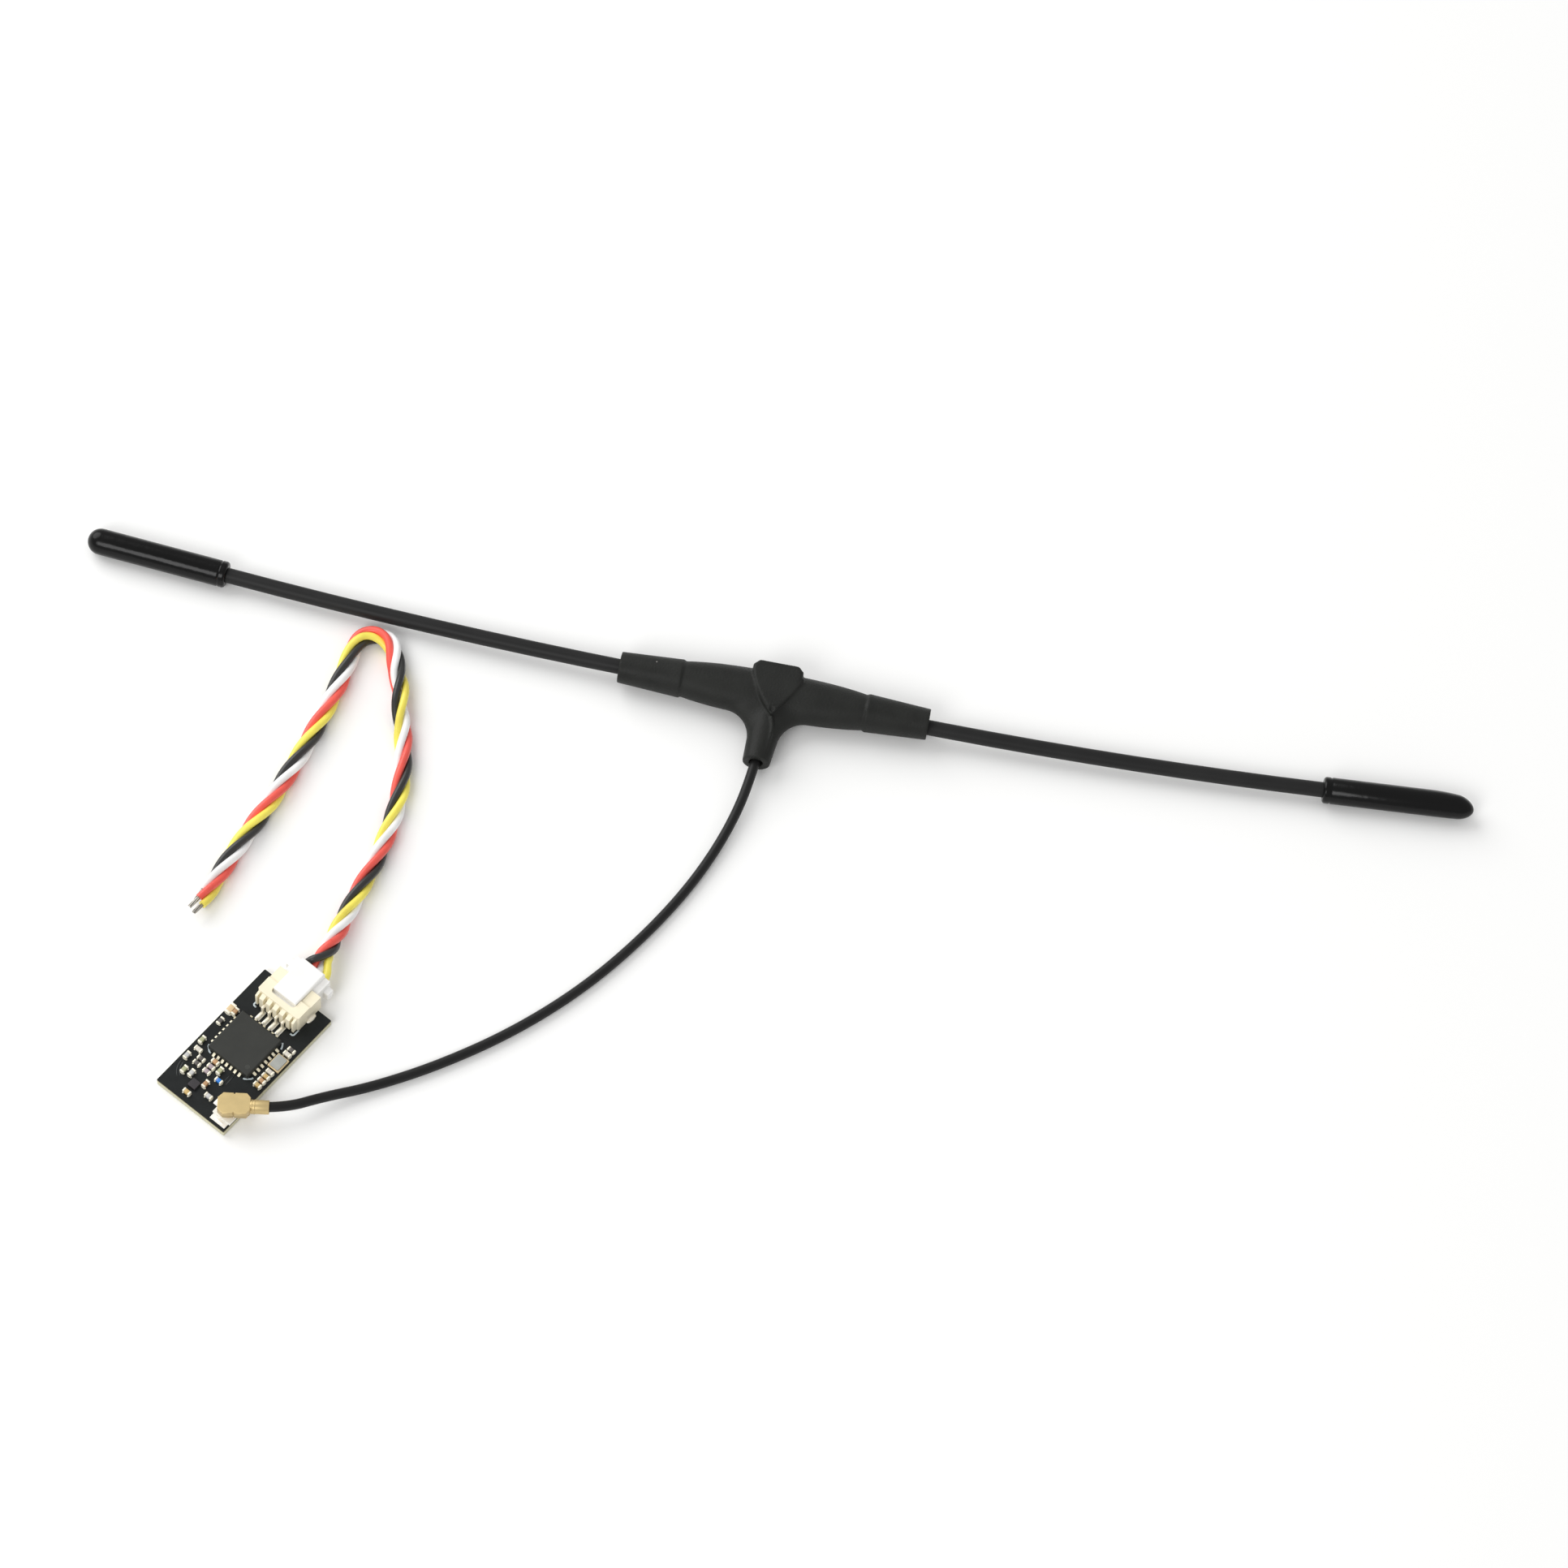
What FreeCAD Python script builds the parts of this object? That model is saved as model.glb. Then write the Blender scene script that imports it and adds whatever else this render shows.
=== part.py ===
import FreeCAD, Part
import math
import os
from FreeCAD import Placement, Rotation, Vector

# A small radio control receiver with its tee dipole antenna and its servo lead, lying on a table.
# Millimetres. The origin is under the middle of the tee moulding, on the table.
# +X runs along the right antenna arm, +Y away from the tee's stem, +Z up.

# Fits
SLIP = 0.05            # between two pieces of which one slides into the other
SEAT = 0.02            # between pieces that are pressed home
OVERSHOOT = 1.0        # how far a cutting tool runs past the face that it cuts
NEARLY_ROUND = 0.002   # half axes closer than this make a circle and not an ellipse

# Tee moulding
TEE_HEIGHT = 5.0
TEE_MID_Z = TEE_HEIGHT / 2
ARM_LENGTH = 18.75     # from the centre to the end of a collar
ARM_CENTRE_DEPTH = 6.0
ARM_MIDWAY = 6.8
ARM_MIDWAY_DEPTH = 5.5
ARM_BODY_HEIGHT = 4.5
NECK_POSITION = 11.2
NECK_DIAMETER = 4.25
COLLAR_STEP = 0.2      # the collar stands this proud of the neck
COLLAR_STEP_RUN = 0.2
COLLAR_END_DIAMETER = 3.75
STEM_LENGTH = 9.3
STEM_LEAN = 0.5        # the stem's end lies this far to the left of the centre
STEM_ROOT_WIDTH = 4.3
STEM_ROOT_HEIGHT = 3.7
STEM_ROOT_POSITION = 5.2
STEM_END_DIAMETER = 3.3
STEM_END_Z = 2.2
CROTCH_RADIUS = 3.6    # fillets between the stem and the arms
PAD_WIDTH = 6.1
PAD_TOP_WIDTH = 4.7
PAD_BACK = 3.3         # the pad's straight edge, away from the stem
PAD_SHOULDER = 1.7
PAD_TIP = 3.5
PAD_BULGE = 0.35       # how far the pad's long sides bow outwards
PAD_EDGE = 0.25        # chamfer round the pads
FEED_CAVITY_LENGTH = 7.0
FEED_CAVITY_HEIGHT = 2.0
FEED_CAVITY_BACK = 1.1
FEED_CAVITY_FRONT = 2.2    # towards the stem, as far as the coaxial cable comes in

# Antenna elements: a wire radiator in a plastic sleeve, with a moulded cap on its end
SLEEVE_DIAMETER = 1.85
SLEEVE_START = 3.6
RADIATOR_DIAMETER = 0.9
RADIATOR_START = 1.3
CAP_DIAMETER = 3.2
CAP_LENGTH = 17.45
CAP_LIP = 0.75         # length of the rolled lip at the open end
CAP_LIP_RADIUS = 0.35
CAP_GROOVE = 0.3       # width of the groove behind the lip
CAP_GROOVE_DEPTH = 0.08
CAP_BORE_DEPTH = 12.0
LEFT_REACH = 67.3      # from the tee's middle to the left cap's rim, and half way along
LEFT_BEND = 3.0
LEFT_HALFWAY = 35.6
LEFT_HALFWAY_BEND = 0.88
RIGHT_REACH = 66.4
RIGHT_BEND = 1.6
RIGHT_HALFWAY = 35.2
RIGHT_HALFWAY_BEND = 0.05
HALFWAY_Z = 1.86
CAP_AXIS_Z = CAP_DIAMETER / 2 + SLIP
LEFT_MIDDLE = Vector(-LEFT_HALFWAY, LEFT_HALFWAY_BEND, HALFWAY_Z)
LEFT_END = Vector(-LEFT_REACH, LEFT_BEND, CAP_AXIS_Z)
RIGHT_MIDDLE = Vector(RIGHT_HALFWAY, RIGHT_HALFWAY_BEND, HALFWAY_Z)
RIGHT_END = Vector(RIGHT_REACH, RIGHT_BEND, CAP_AXIS_Z)

# Transceiver chip
CHIP_SIZE = 6.0
CHIP_HEIGHT = 0.9
CHIP_CHAMFER = 0.12
PADS_A_SIDE = 7
PAD_PITCH = 0.65
PAD_BREADTH = 0.32
PAD_REACH = 0.42
PAD_RISE = 0.28
PAD_FOOT = 0.06

# Crystal
CRYSTAL_WIDTH = 1.6
CRYSTAL_LENGTH = 2.0
CRYSTAL_BASE_HEIGHT = 0.38
CRYSTAL_LID_HEIGHT = 0.14
CRYSTAL_LID_INSET = 0.13
CRYSTAL_EDGE_GAP = 0.17
CRYSTAL_GAP = 0.18     # from the chip's joints to the crystal
CRYSTAL_LEAD = 0.78    # the crystal's middle lies this far beyond the chip's middle

# Small chip parts
SMALL_LENGTH = 1.0
SMALL_WIDTH = 0.5
SMALL_END = 0.24
LARGE_LENGTH = 1.4
LARGE_WIDTH = 0.7
LARGE_END = 0.3
CAPACITOR_HEIGHT = 0.5
RESISTOR_HEIGHT = 0.35
INDUCTOR_HEIGHT = 0.5
LED_HEIGHT = 0.4
END_PROUD = 0.02       # the metal ends stand this proud of the body
SWITCH_CHIP_SIZE = 1.1
SWITCH_CHIP_HEIGHT = 0.4

# Header on the board's far end
PIN_COUNT = 4
PIN_PITCH = 1.0
HEADER_WIDTH = 6.2
HEADER_DEPTH = 3.98
HEADER_HEIGHT = 2.95
HEADER_OVERHANG = 0.48
HEADER_WALL = 0.4
HEADER_REAR_WALL = 0.48
HEADER_REAR_CORNER = 0.2
HEADER_RIB_DEPTH = 0.65
HEADER_RIB_WIDTH = 0.6
HEADER_POST_WIDTH = 0.3    # the posts at the two ends of the row of ribs
HEADER_RIB_FOOT = 0.3
HEADER_RIB_TOP = 2.75
HEADER_RIB_SLOPE = 0.3
NOTCH_DEPTH = 3.25
NOTCH_CORNER = 0.4
EAR_LENGTH = 1.95
EAR_DROP = 0.25
PIN_SIZE = 0.3
PIN_HEIGHT = 1.4
PIN_DROP_GAP = 0.94    # from the rear wall's face to the middle of the pin's vertical run
PIN_TAIL = 0.95
PIN_BLADE = 2.4
TAB_LENGTH = 1.1
TAB_WIDTH = 0.35
TAB_THICKNESS = 0.2
TAB_RISE = 1.1
TAB_FRONT = 1.25

# Plug of the servo lead
PLUG_WIDTH = 5.0
PLUG_HEIGHT = 1.95
PLUG_BEHIND = 2.35     # what stands out behind the header
PLUG_BLOCK_WIDTH = 3.4
PLUG_LUG_WIDTH = 0.75
PLUG_LUG_LENGTH = 1.0
PLUG_LUG_HEIGHT = 1.2
PLUG_LUG_INSET = 0.3    # from the plug's rear face to the lugs
PLUG_ABOVE = 0.3        # the plug's block stands this proud of the header
PLUG_FRONT_GAP = 0.2
PLUG_EDGE = 0.2
CONTACT_SIZE = 0.66
CONTACT_REAR = 0.6     # the contacts stop this far inside the plug's rear face

# Circuit board: u runs across it and v along it, from its middle. It is as large as what it carries.
LEFT_STRIP = 1.45      # from the board's left edge to the chip's joints
NEAR_STRIP = 6.37      # from the board's near edge to the chip's joints
PINS_TO_CHIP = 0.14    # from the chip's joints to the ends of the header's pins
CHIP_OVERALL = CHIP_SIZE + 2 * PAD_REACH
BOARD_WIDTH = LEFT_STRIP + CHIP_OVERALL + CRYSTAL_GAP + CRYSTAL_WIDTH + CRYSTAL_EDGE_GAP
HEADER_SEAT = PIN_TAIL + PIN_DROP_GAP + HEADER_DEPTH - HEADER_OVERHANG
BOARD_LENGTH = NEAR_STRIP + CHIP_OVERALL + PINS_TO_CHIP + HEADER_SEAT
BOARD_THICKNESS = 1.0
BOARD_X = -51.55
BOARD_Y = -57.94
BOARD_CENTRE = Vector(BOARD_X, BOARD_Y, 0)
BOARD_TURN = -28.9
BOARD_CORNER = 0.15
CHIP_U = LEFT_STRIP + CHIP_OVERALL / 2 - BOARD_WIDTH / 2
CHIP_V = NEAR_STRIP + CHIP_OVERALL / 2 - BOARD_LENGTH / 2

# Coaxial receptacle on the board's near corner and its plug
SOCKET_CORNER_U = 1.32     # from the board's right edge to the socket's centre
SOCKET_CORNER_V = 2.37     # from the board's near edge to the socket's centre
SOCKET_BASE_SIZE = 2.6
SOCKET_BASE_HEIGHT = 0.35
SOCKET_RING_DIAMETER = 2.0
SOCKET_RING_WALL = 0.13
SOCKET_HEIGHT = 1.25
SOCKET_PIN_DIAMETER = 0.5
SOCKET_FOOT_WIDTH = 2.2
SOCKET_FOOT_REACH = 0.7
SOCKET_FOOT_THICKNESS = 0.15
SIGNAL_FOOT_WIDTH = 0.8
COAX_PLUG_TURN = 38.0  # from the board's u axis
COAX_PLUG_WIDTH = 2.66
COAX_PLUG_FRONT = 1.22 # from the socket's centre to the front of the head
COAX_PLUG_NOSE = 0.7   # radius of the head's front corners
COAX_PLUG_TOP = 2.3
COAX_PLUG_BOTTOM = 0.5
COAX_PLUG_SHEET = 0.2
COAX_NOTCH_START = 0.6 # notches between the head and the wings
COAX_NOTCH_WIDTH = 0.16
COAX_NOTCH_DEPTH = 0.14
COAX_WING_END = 2.1
COAX_NECK_END = 2.55   # the sheet narrows from the wings to the barrel up to here
COAX_BARREL_END = 4.7
COAX_BARREL_DIAMETER = 1.64
COAX_CONTACT_WALL = 0.17
COAX_DISC_HEIGHT = 0.45

# Coaxial cable from the plug to the tee
COAX_DIAMETER = 1.2
COAX_ROUTE = [(-41.3, -62.05, 1.35), (-36.2, -59.35, 0.72), (-29.4, -54.8, 0.62), (-22.0, -48.75, 0.62),
              (-15.1, -41.35, 0.62), (-9.4, -33.1, 0.62), (-5.2, -24.7, 0.66), (-2.15, -16.5, 1.15)]
COAX_STRAIGHT = 1.6    # straight run out of the plug before the first bend
COAX_IN_BARREL = 1.8
COAX_IN_STEM = STEM_LENGTH - FEED_CAVITY_FRONT
STEM_BORE = 1.6
STEM_BORE_DEPTH = 3.0
CORE_DIAMETER = 0.35
BRAID_DIAMETER = 0.5
JOINT_DIAMETER = 1.3
JOINT_LENGTH = 1.1
TAIL_GAP = 0.3         # the tails end this far before the radiators, inside the solder

# Servo lead: four insulated wires, twisted together
WIRE_DIAMETER = 0.93
BUNDLE_DIAMETER = 2.26
WIRE_GAP = 0.04        # between two wires where the twist begins
WIRE_OFFSET = (WIRE_DIAMETER + WIRE_GAP) / 2
BUNDLE_ROUTE = [(-44.4, -42.2, 1.95), (-43.3, -36.7, 1.3), (-41.55, -29.6, 1.14), (-40.75, -21.6, 1.14),
                (-42.1, -13.7, 1.14), (-44.65, -5.6, 1.14), (-45.95, -1.75, 1.14), (-48.25, -0.8, 1.14),
                (-50.35, -2.05, 1.14), (-50.85, -7.3, 1.14), (-52.7, -16.0, 1.14), (-55.3, -24.9, 1.14),
                (-58.0, -32.2, 1.14), (-59.55, -37.0, 1.14)]
LEAD_STRAIGHT = 0.8    # straight run out of the plug and into the twist
LEAD_PARTING = 0.22    # share of the way to the twist in which the leads part up and down
FREE_LENGTH = 2.6      # from the end of the twist to the stripped ends
TINNED_LENGTH = 1.3
TINNED_DIAMETER = 0.5
TURN_SHARE = 0.45      # share of the shorter run that a bend may take at each side

# Small parts near the near edge: across from the left edge, along from the near edge, and which way they lie
NEAR_PARTS = [("capacitor", 4.72, 3.17, "v"), ("capacitor", 3.77, 1.02, "u"), ("capacitor", 3.72, 5.97, "u"),
              ("capacitor", 4.87, 5.47, "v"), ("capacitor", 1.62, 2.97, "v"), ("resistor", 1.12, 5.97, "u"),
              ("resistor", 2.17, 5.27, "u"), ("resistor", 2.17, 4.52, "u"), ("resistor", 3.72, 5.22, "u"),
              ("resistor", 3.72, 4.47, "u"), ("inductor", 0.67, 4.52, "v"), ("inductor", 2.57, 3.17, "v"),
              ("inductor", 6.02, 2.22, "u"), ("led", 5.57, 4.47, "u")]
# Small parts in the strip on the chip's left: across from the board's left edge, along from the chip's middle
LEFT_PARTS = [("resistor", 0.62, 0.53, "v"), ("capacitor", 1.17, 2.48, "v"), ("capacitor", 0.67, -2.67, "v")]
LARGE_CAPACITOR_PLACE = (0.52, 2.43, "v")
# Small parts in a column at the right edge, before and beyond the crystal
RIGHT_COLUMN = 0.92    # from the board's right edge
COLUMN_GAP = 0.25      # from the crystal to the first part at each end of it
COLUMN_STEP = 0.72
BEFORE_CRYSTAL = ["capacitor", "capacitor", "capacitor", "capacitor"]
BEYOND_CRYSTAL = ["capacitor", "resistor"]
SWITCH_CHIP_PLACE = (3.72, 2.32)
PART_HEIGHTS = {"capacitor": CAPACITOR_HEIGHT, "resistor": RESISTOR_HEIGHT,
                "inductor": INDUCTOR_HEIGHT, "led": LED_HEIGHT}


def box(u, v, z, size_u, size_v, size_z):
    return Part.makeBox(size_u, size_v, size_z, Vector(u - size_u / 2, v - size_v / 2, z))


def cylinder(radius, start, end):
    start, end = Vector(start), Vector(end)
    return Part.makeCylinder(radius, (end - start).Length, start, end - start)


def ring(outer, inner, z, height):
    whole = cylinder(outer, (0, 0, z), (0, 0, z + height))
    return whole.cut(cylinder(inner, (0, 0, z - OVERSHOOT), (0, 0, z + height + OVERSHOOT)))


def joined(shapes):
    whole = shapes[0].fuse(shapes[1:]) if len(shapes) > 1 else shapes[0]
    return whole.removeSplitter()


def polygon(points):
    return Part.Face(Part.makePolygon(points + [points[0]]))


def on_board(shape):
    place = Placement(BOARD_CENTRE + Vector(0, 0, BOARD_THICKNESS), Rotation(Vector(0, 0, 1), BOARD_TURN))
    moved = shape.copy()
    moved.Placement = place.multiply(moved.Placement)
    return moved


def board_point(u, v, z):
    turned = Rotation(Vector(0, 0, 1), BOARD_TURN).multVec(Vector(u, v, z))
    return BOARD_CENTRE + Vector(0, 0, BOARD_THICKNESS) + turned


def save(node, shapes):
    shapes = shapes if isinstance(shapes, list) else [shapes]
    solids = [solid for shape in shapes for solid in shape.Solids]
    whole = solids[0] if len(solids) == 1 else Part.makeCompound(solids)
    whole.exportStep("parts/" + node + ".step")
    return whole


# Cords: straight runs joined by tangent arcs
def bent_path(points):
    edges = []
    radii = []
    here = points[0]
    for before, corner, after in zip(points, points[1:], points[2:]):
        back = before - corner
        ahead = after - corner
        half_turn = (math.pi - back.getAngle(ahead)) / 2
        trim = TURN_SHARE * min(back.Length, ahead.Length)
        radii.append(trim / math.tan(half_turn))
        arc_start = corner + Vector(back).normalize() * trim
        arc_end = corner + Vector(ahead).normalize() * trim
        bisector = (Vector(back).normalize() + Vector(ahead).normalize()).normalize()
        depth = radii[-1] * (1 / math.cos(half_turn) - 1)
        edges.append(Part.LineSegment(here, arc_start).toShape())
        edges.append(Part.Arc(arc_start, corner + bisector * depth, arc_end).toShape())
        here = arc_end
    edges.append(Part.LineSegment(here, points[-1]).toShape())
    return Part.Wire(edges), radii


def tube(name, points, diameter):
    path, radii = bent_path(points)
    circle = Part.Wire(Part.Circle(points[0], points[1] - points[0], diameter / 2).toShape())
    solid = path.makePipeShell([circle], True, False)
    wanted = path.Length * math.pi * diameter ** 2 / 4
    print("%s length %.1f radii %s volume %.4f of section times length" % (
        name, path.Length, " ".join("%.1f" % r for r in radii), solid.Volume / wanted))
    return solid


# Antenna
def element_arc(side):
    start = Vector(side * RADIATOR_START, 0, TEE_MID_Z)
    middle, end = (LEFT_MIDDLE, LEFT_END) if side < 0 else (RIGHT_MIDDLE, RIGHT_END)
    return Part.Arc(start, middle, end)


def cap_direction(side):
    curve = element_arc(side)
    return Vector(*curve.tangent(curve.LastParameter)[0])


def element_point(side, inside):
    return element_arc(side).EndPoint + cap_direction(side) * inside


def element_rod(side, diameter, start, inside):
    curve = element_arc(side)
    first = curve.parameterAtDistance(start - RADIATOR_START, curve.FirstParameter)
    edges = [curve.toShape(first, curve.LastParameter)]
    if inside > 0:
        edges.append(Part.LineSegment(element_point(side, 0), element_point(side, inside)).toShape())
    circle = Part.Circle(curve.value(first), Vector(*curve.tangent(first)[0]), diameter / 2)
    return Part.Wire(edges).makePipeShell([Part.Wire(circle.toShape())], True, False)


def radiator(side):
    return element_rod(side, RADIATOR_DIAMETER, RADIATOR_START, CAP_BORE_DEPTH - SLIP)


def element_sleeve(side):
    outer = element_rod(side, SLEEVE_DIAMETER, SLEEVE_START, CAP_BORE_DEPTH - SLIP)
    return outer.cut(element_rod(side, RADIATOR_DIAMETER, SLEEVE_START, CAP_BORE_DEPTH - SLIP))


def end_cap(side):
    radius = CAP_DIAMETER / 2
    bore = SLEEVE_DIAMETER / 2 + SLIP
    nose = CAP_LENGTH - radius
    slant = math.sqrt(0.5)
    lip = CAP_LIP_RADIUS
    groove_end = CAP_LIP + CAP_GROOVE
    groove_bottom = Vector(CAP_LIP + CAP_GROOVE / 2, radius - CAP_GROOVE_DEPTH, 0)
    outline = [Part.LineSegment(Vector(0, bore, 0), Vector(0, radius - lip, 0)),
               Part.Arc(Vector(0, radius - lip, 0), Vector(lip - lip * slant, radius - lip + lip * slant, 0),
                        Vector(lip, radius, 0)),
               Part.LineSegment(Vector(lip, radius, 0), Vector(CAP_LIP, radius, 0)),
               Part.LineSegment(Vector(CAP_LIP, radius, 0), groove_bottom),
               Part.LineSegment(groove_bottom, Vector(groove_end, radius, 0)),
               Part.LineSegment(Vector(groove_end, radius, 0), Vector(nose, radius, 0)),
               Part.Arc(Vector(nose, radius, 0), Vector(nose + radius * slant, radius * slant, 0),
                        Vector(CAP_LENGTH, 0, 0)),
               Part.LineSegment(Vector(CAP_LENGTH, 0, 0), Vector(CAP_BORE_DEPTH, 0, 0)),
               Part.LineSegment(Vector(CAP_BORE_DEPTH, 0, 0), Vector(CAP_BORE_DEPTH, bore, 0)),
               Part.LineSegment(Vector(CAP_BORE_DEPTH, bore, 0), Vector(0, bore, 0))]
    face = Part.Face(Part.Wire([edge.toShape() for edge in outline]))
    cap = face.revolve(Vector(0, 0, 0), Vector(1, 0, 0), 360)
    cap.Placement = Placement(element_point(side, 0), Rotation(Vector(1, 0, 0), cap_direction(side)))
    return cap


def ellipse_at(centre, normal, half_across, half_high):
    level = Vector(0, 0, 1)
    across = level.cross(normal)
    longer, shorter = max(half_across, half_high), min(half_across, half_high)
    if longer - shorter < NEARLY_ROUND:
        return Part.Wire(Part.Circle(centre, normal, longer).toShape())
    major = across * longer if half_across > half_high else level * longer
    minor = level * shorter if half_across > half_high else across * shorter
    return Part.Wire(Part.Ellipse(centre + major, centre + minor, centre).toShape())


def tee_arms():
    sections = []
    for x, depth, height in [(-NECK_POSITION, NECK_DIAMETER, NECK_DIAMETER - SEAT),
                             (-ARM_MIDWAY, ARM_MIDWAY_DEPTH, ARM_BODY_HEIGHT),
                             (0, ARM_CENTRE_DEPTH, ARM_BODY_HEIGHT),
                             (ARM_MIDWAY, ARM_MIDWAY_DEPTH, ARM_BODY_HEIGHT),
                             (NECK_POSITION, NECK_DIAMETER, NECK_DIAMETER - SEAT)]:
        sections.append(ellipse_at(Vector(x, 0, TEE_MID_Z), Vector(1, 0, 0), depth / 2, height / 2))
    return Part.makeLoft(sections, True, False)


def tee_collar(side):
    neck = NECK_DIAMETER / 2
    inside_arm = Vector(side * (NECK_POSITION - COLLAR_STEP_RUN), 0, TEE_MID_Z)
    widest = Vector(side * NECK_POSITION, 0, TEE_MID_Z)
    ahead = Vector(side, 0, 0)
    step = Part.makeCone(neck - COLLAR_STEP, neck + COLLAR_STEP, COLLAR_STEP_RUN, inside_arm, ahead)
    taper = Part.makeCone(neck + COLLAR_STEP, COLLAR_END_DIAMETER / 2, ARM_LENGTH - NECK_POSITION,
                          widest, ahead)
    return step.fuse(taper)


def tee_stem():
    root = Vector(0, -SEAT, TEE_MID_Z)
    share = STEM_ROOT_POSITION / STEM_LENGTH
    waist = Vector(-STEM_LEAN * share, -STEM_ROOT_POSITION, TEE_MID_Z + (STEM_END_Z - TEE_MID_Z) * share)
    end = Vector(-STEM_LEAN, -STEM_LENGTH, STEM_END_Z)
    down = Vector(0, -1, 0)
    waist_height = (STEM_ROOT_HEIGHT + STEM_END_DIAMETER) / 2
    sections = [ellipse_at(root, down, STEM_ROOT_WIDTH / 2, STEM_ROOT_HEIGHT / 2),
                ellipse_at(waist, down, (STEM_ROOT_WIDTH + STEM_END_DIAMETER) / 4, waist_height / 2),
                ellipse_at(end, down, STEM_END_DIAMETER / 2, STEM_END_DIAMETER / 2 - SEAT)]
    return Part.makeLoft(sections, True, False)


def crotch_edges(shape):
    found = []
    for edge in shape.Edges:
        middle = edge.BoundBox.Center
        on_end = edge.BoundBox.YMax < -STEM_LENGTH + SEAT
        if abs(middle.x) < STEM_ROOT_WIDTH and edge.BoundBox.YMax < -SEAT and not on_end:
            if edge.BoundBox.YMin > -STEM_ROOT_POSITION:
                found.append(edge)
    return found


def tee_pads():
    half = PAD_WIDTH / 2
    top = PAD_TOP_WIDTH / 2
    chamfer = half - top
    tip = Vector(0, -PAD_TIP, 0)
    right = Vector(half, PAD_SHOULDER, 0)
    left = Vector(-half, PAD_SHOULDER, 0)
    right_bow = (right + tip) * 0.5 + Vector(PAD_BULGE, -PAD_BULGE / 2, 0)
    left_bow = (left + tip) * 0.5 + Vector(-PAD_BULGE, -PAD_BULGE / 2, 0)
    corners = [right, Vector(half, PAD_BACK - chamfer, 0), Vector(top, PAD_BACK, 0),
               Vector(-top, PAD_BACK, 0), Vector(-half, PAD_BACK - chamfer, 0), left]
    edges = [Part.LineSegment(a, b).toShape() for a, b in zip(corners, corners[1:])]
    edges.append(Part.Arc(left, left_bow, tip).toShape())
    edges.append(Part.Arc(tip, right_bow, right).toShape())
    pad = Part.Face(Part.Wire(edges)).extrude(Vector(0, 0, TEE_HEIGHT))
    rims = [edge for edge in pad.Edges if edge.BoundBox.ZLength < SEAT]
    return pad.makeChamfer(PAD_EDGE, rims)


def stem_point(depth):
    share = 1 - depth / STEM_LENGTH
    return Vector(-STEM_LEAN * share, -STEM_LENGTH + depth, TEE_MID_Z + (STEM_END_Z - TEE_MID_Z) * share)


def coax_points():
    in_barrel = coax_plug_point(COAX_BARREL_END - COAX_IN_BARREL)
    out_of_barrel = coax_plug_point(COAX_BARREL_END + COAX_STRAIGHT)
    route = [Vector(*point) for point in COAX_ROUTE]
    return [in_barrel, out_of_barrel] + route + [stem_point(0), stem_point(COAX_IN_STEM)]


def tee_moulding():
    body = tee_arms().fuse(tee_stem())
    body = body.makeFillet(CROTCH_RADIUS, crotch_edges(body))
    body = body.fuse(tee_pads())
    body = body.fuse([tee_collar(-1), tee_collar(1)])
    tunnels = [element_rod(side, SLEEVE_DIAMETER + 2 * SLIP, RADIATOR_START, 0) for side in (-1, 1)]
    cavity = box(0, (FEED_CAVITY_BACK - FEED_CAVITY_FRONT) / 2, TEE_MID_Z - FEED_CAVITY_HEIGHT / 2,
                 FEED_CAVITY_LENGTH, FEED_CAVITY_BACK + FEED_CAVITY_FRONT, FEED_CAVITY_HEIGHT)
    outside = stem_point(-OVERSHOOT)
    channel = cylinder(COAX_DIAMETER / 2 + SLIP, stem_point(COAX_IN_STEM + SLIP), outside)
    mouth = cylinder(STEM_BORE / 2, stem_point(STEM_BORE_DEPTH), outside)
    return body.cut(tunnels).cut(cavity).cut(channel).cut(mouth)


def feed_tail(diameter, start, radiator_end):
    back = (start - radiator_end).normalize()
    return cylinder(diameter / 2, start, radiator_end + back * TAIL_GAP)


def feed_parts():
    left = Vector(-RADIATOR_START, 0, TEE_MID_Z)
    right = Vector(RADIATOR_START, 0, TEE_MID_Z)
    coax_end = stem_point(COAX_IN_STEM)
    aside = Vector(BRAID_DIAMETER / 2, 0, 0)
    taken = [radiator(-1), radiator(1), cylinder(COAX_DIAMETER / 2, stem_point(0), coax_end)]
    core = feed_tail(CORE_DIAMETER, coax_end - aside, left).cut(taken)
    braid = feed_tail(BRAID_DIAMETER, coax_end + aside, right).cut(taken)
    joints = []
    for place in (left, right):
        half = Vector(JOINT_LENGTH / 2, 0, 0)
        joints.append(cylinder(JOINT_DIAMETER / 2, place - half, place + half).cut(taken + [core, braid]))
    return core, braid, joints


# Circuit board and what is soldered to it
def circuit_board():
    board = box(0, 0, -BOARD_THICKNESS, BOARD_WIDTH, BOARD_LENGTH, BOARD_THICKNESS)
    return board.makeFillet(BOARD_CORNER, [edge for edge in board.Edges if edge.BoundBox.ZLength > SEAT])


def transceiver_chip():
    chip = box(CHIP_U, CHIP_V, 0, CHIP_SIZE, CHIP_SIZE, CHIP_HEIGHT)
    top = [edge for edge in chip.Edges if edge.BoundBox.ZMin > CHIP_HEIGHT - SEAT]
    return chip.makeChamfer(CHIP_CHAMFER, top)


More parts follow.
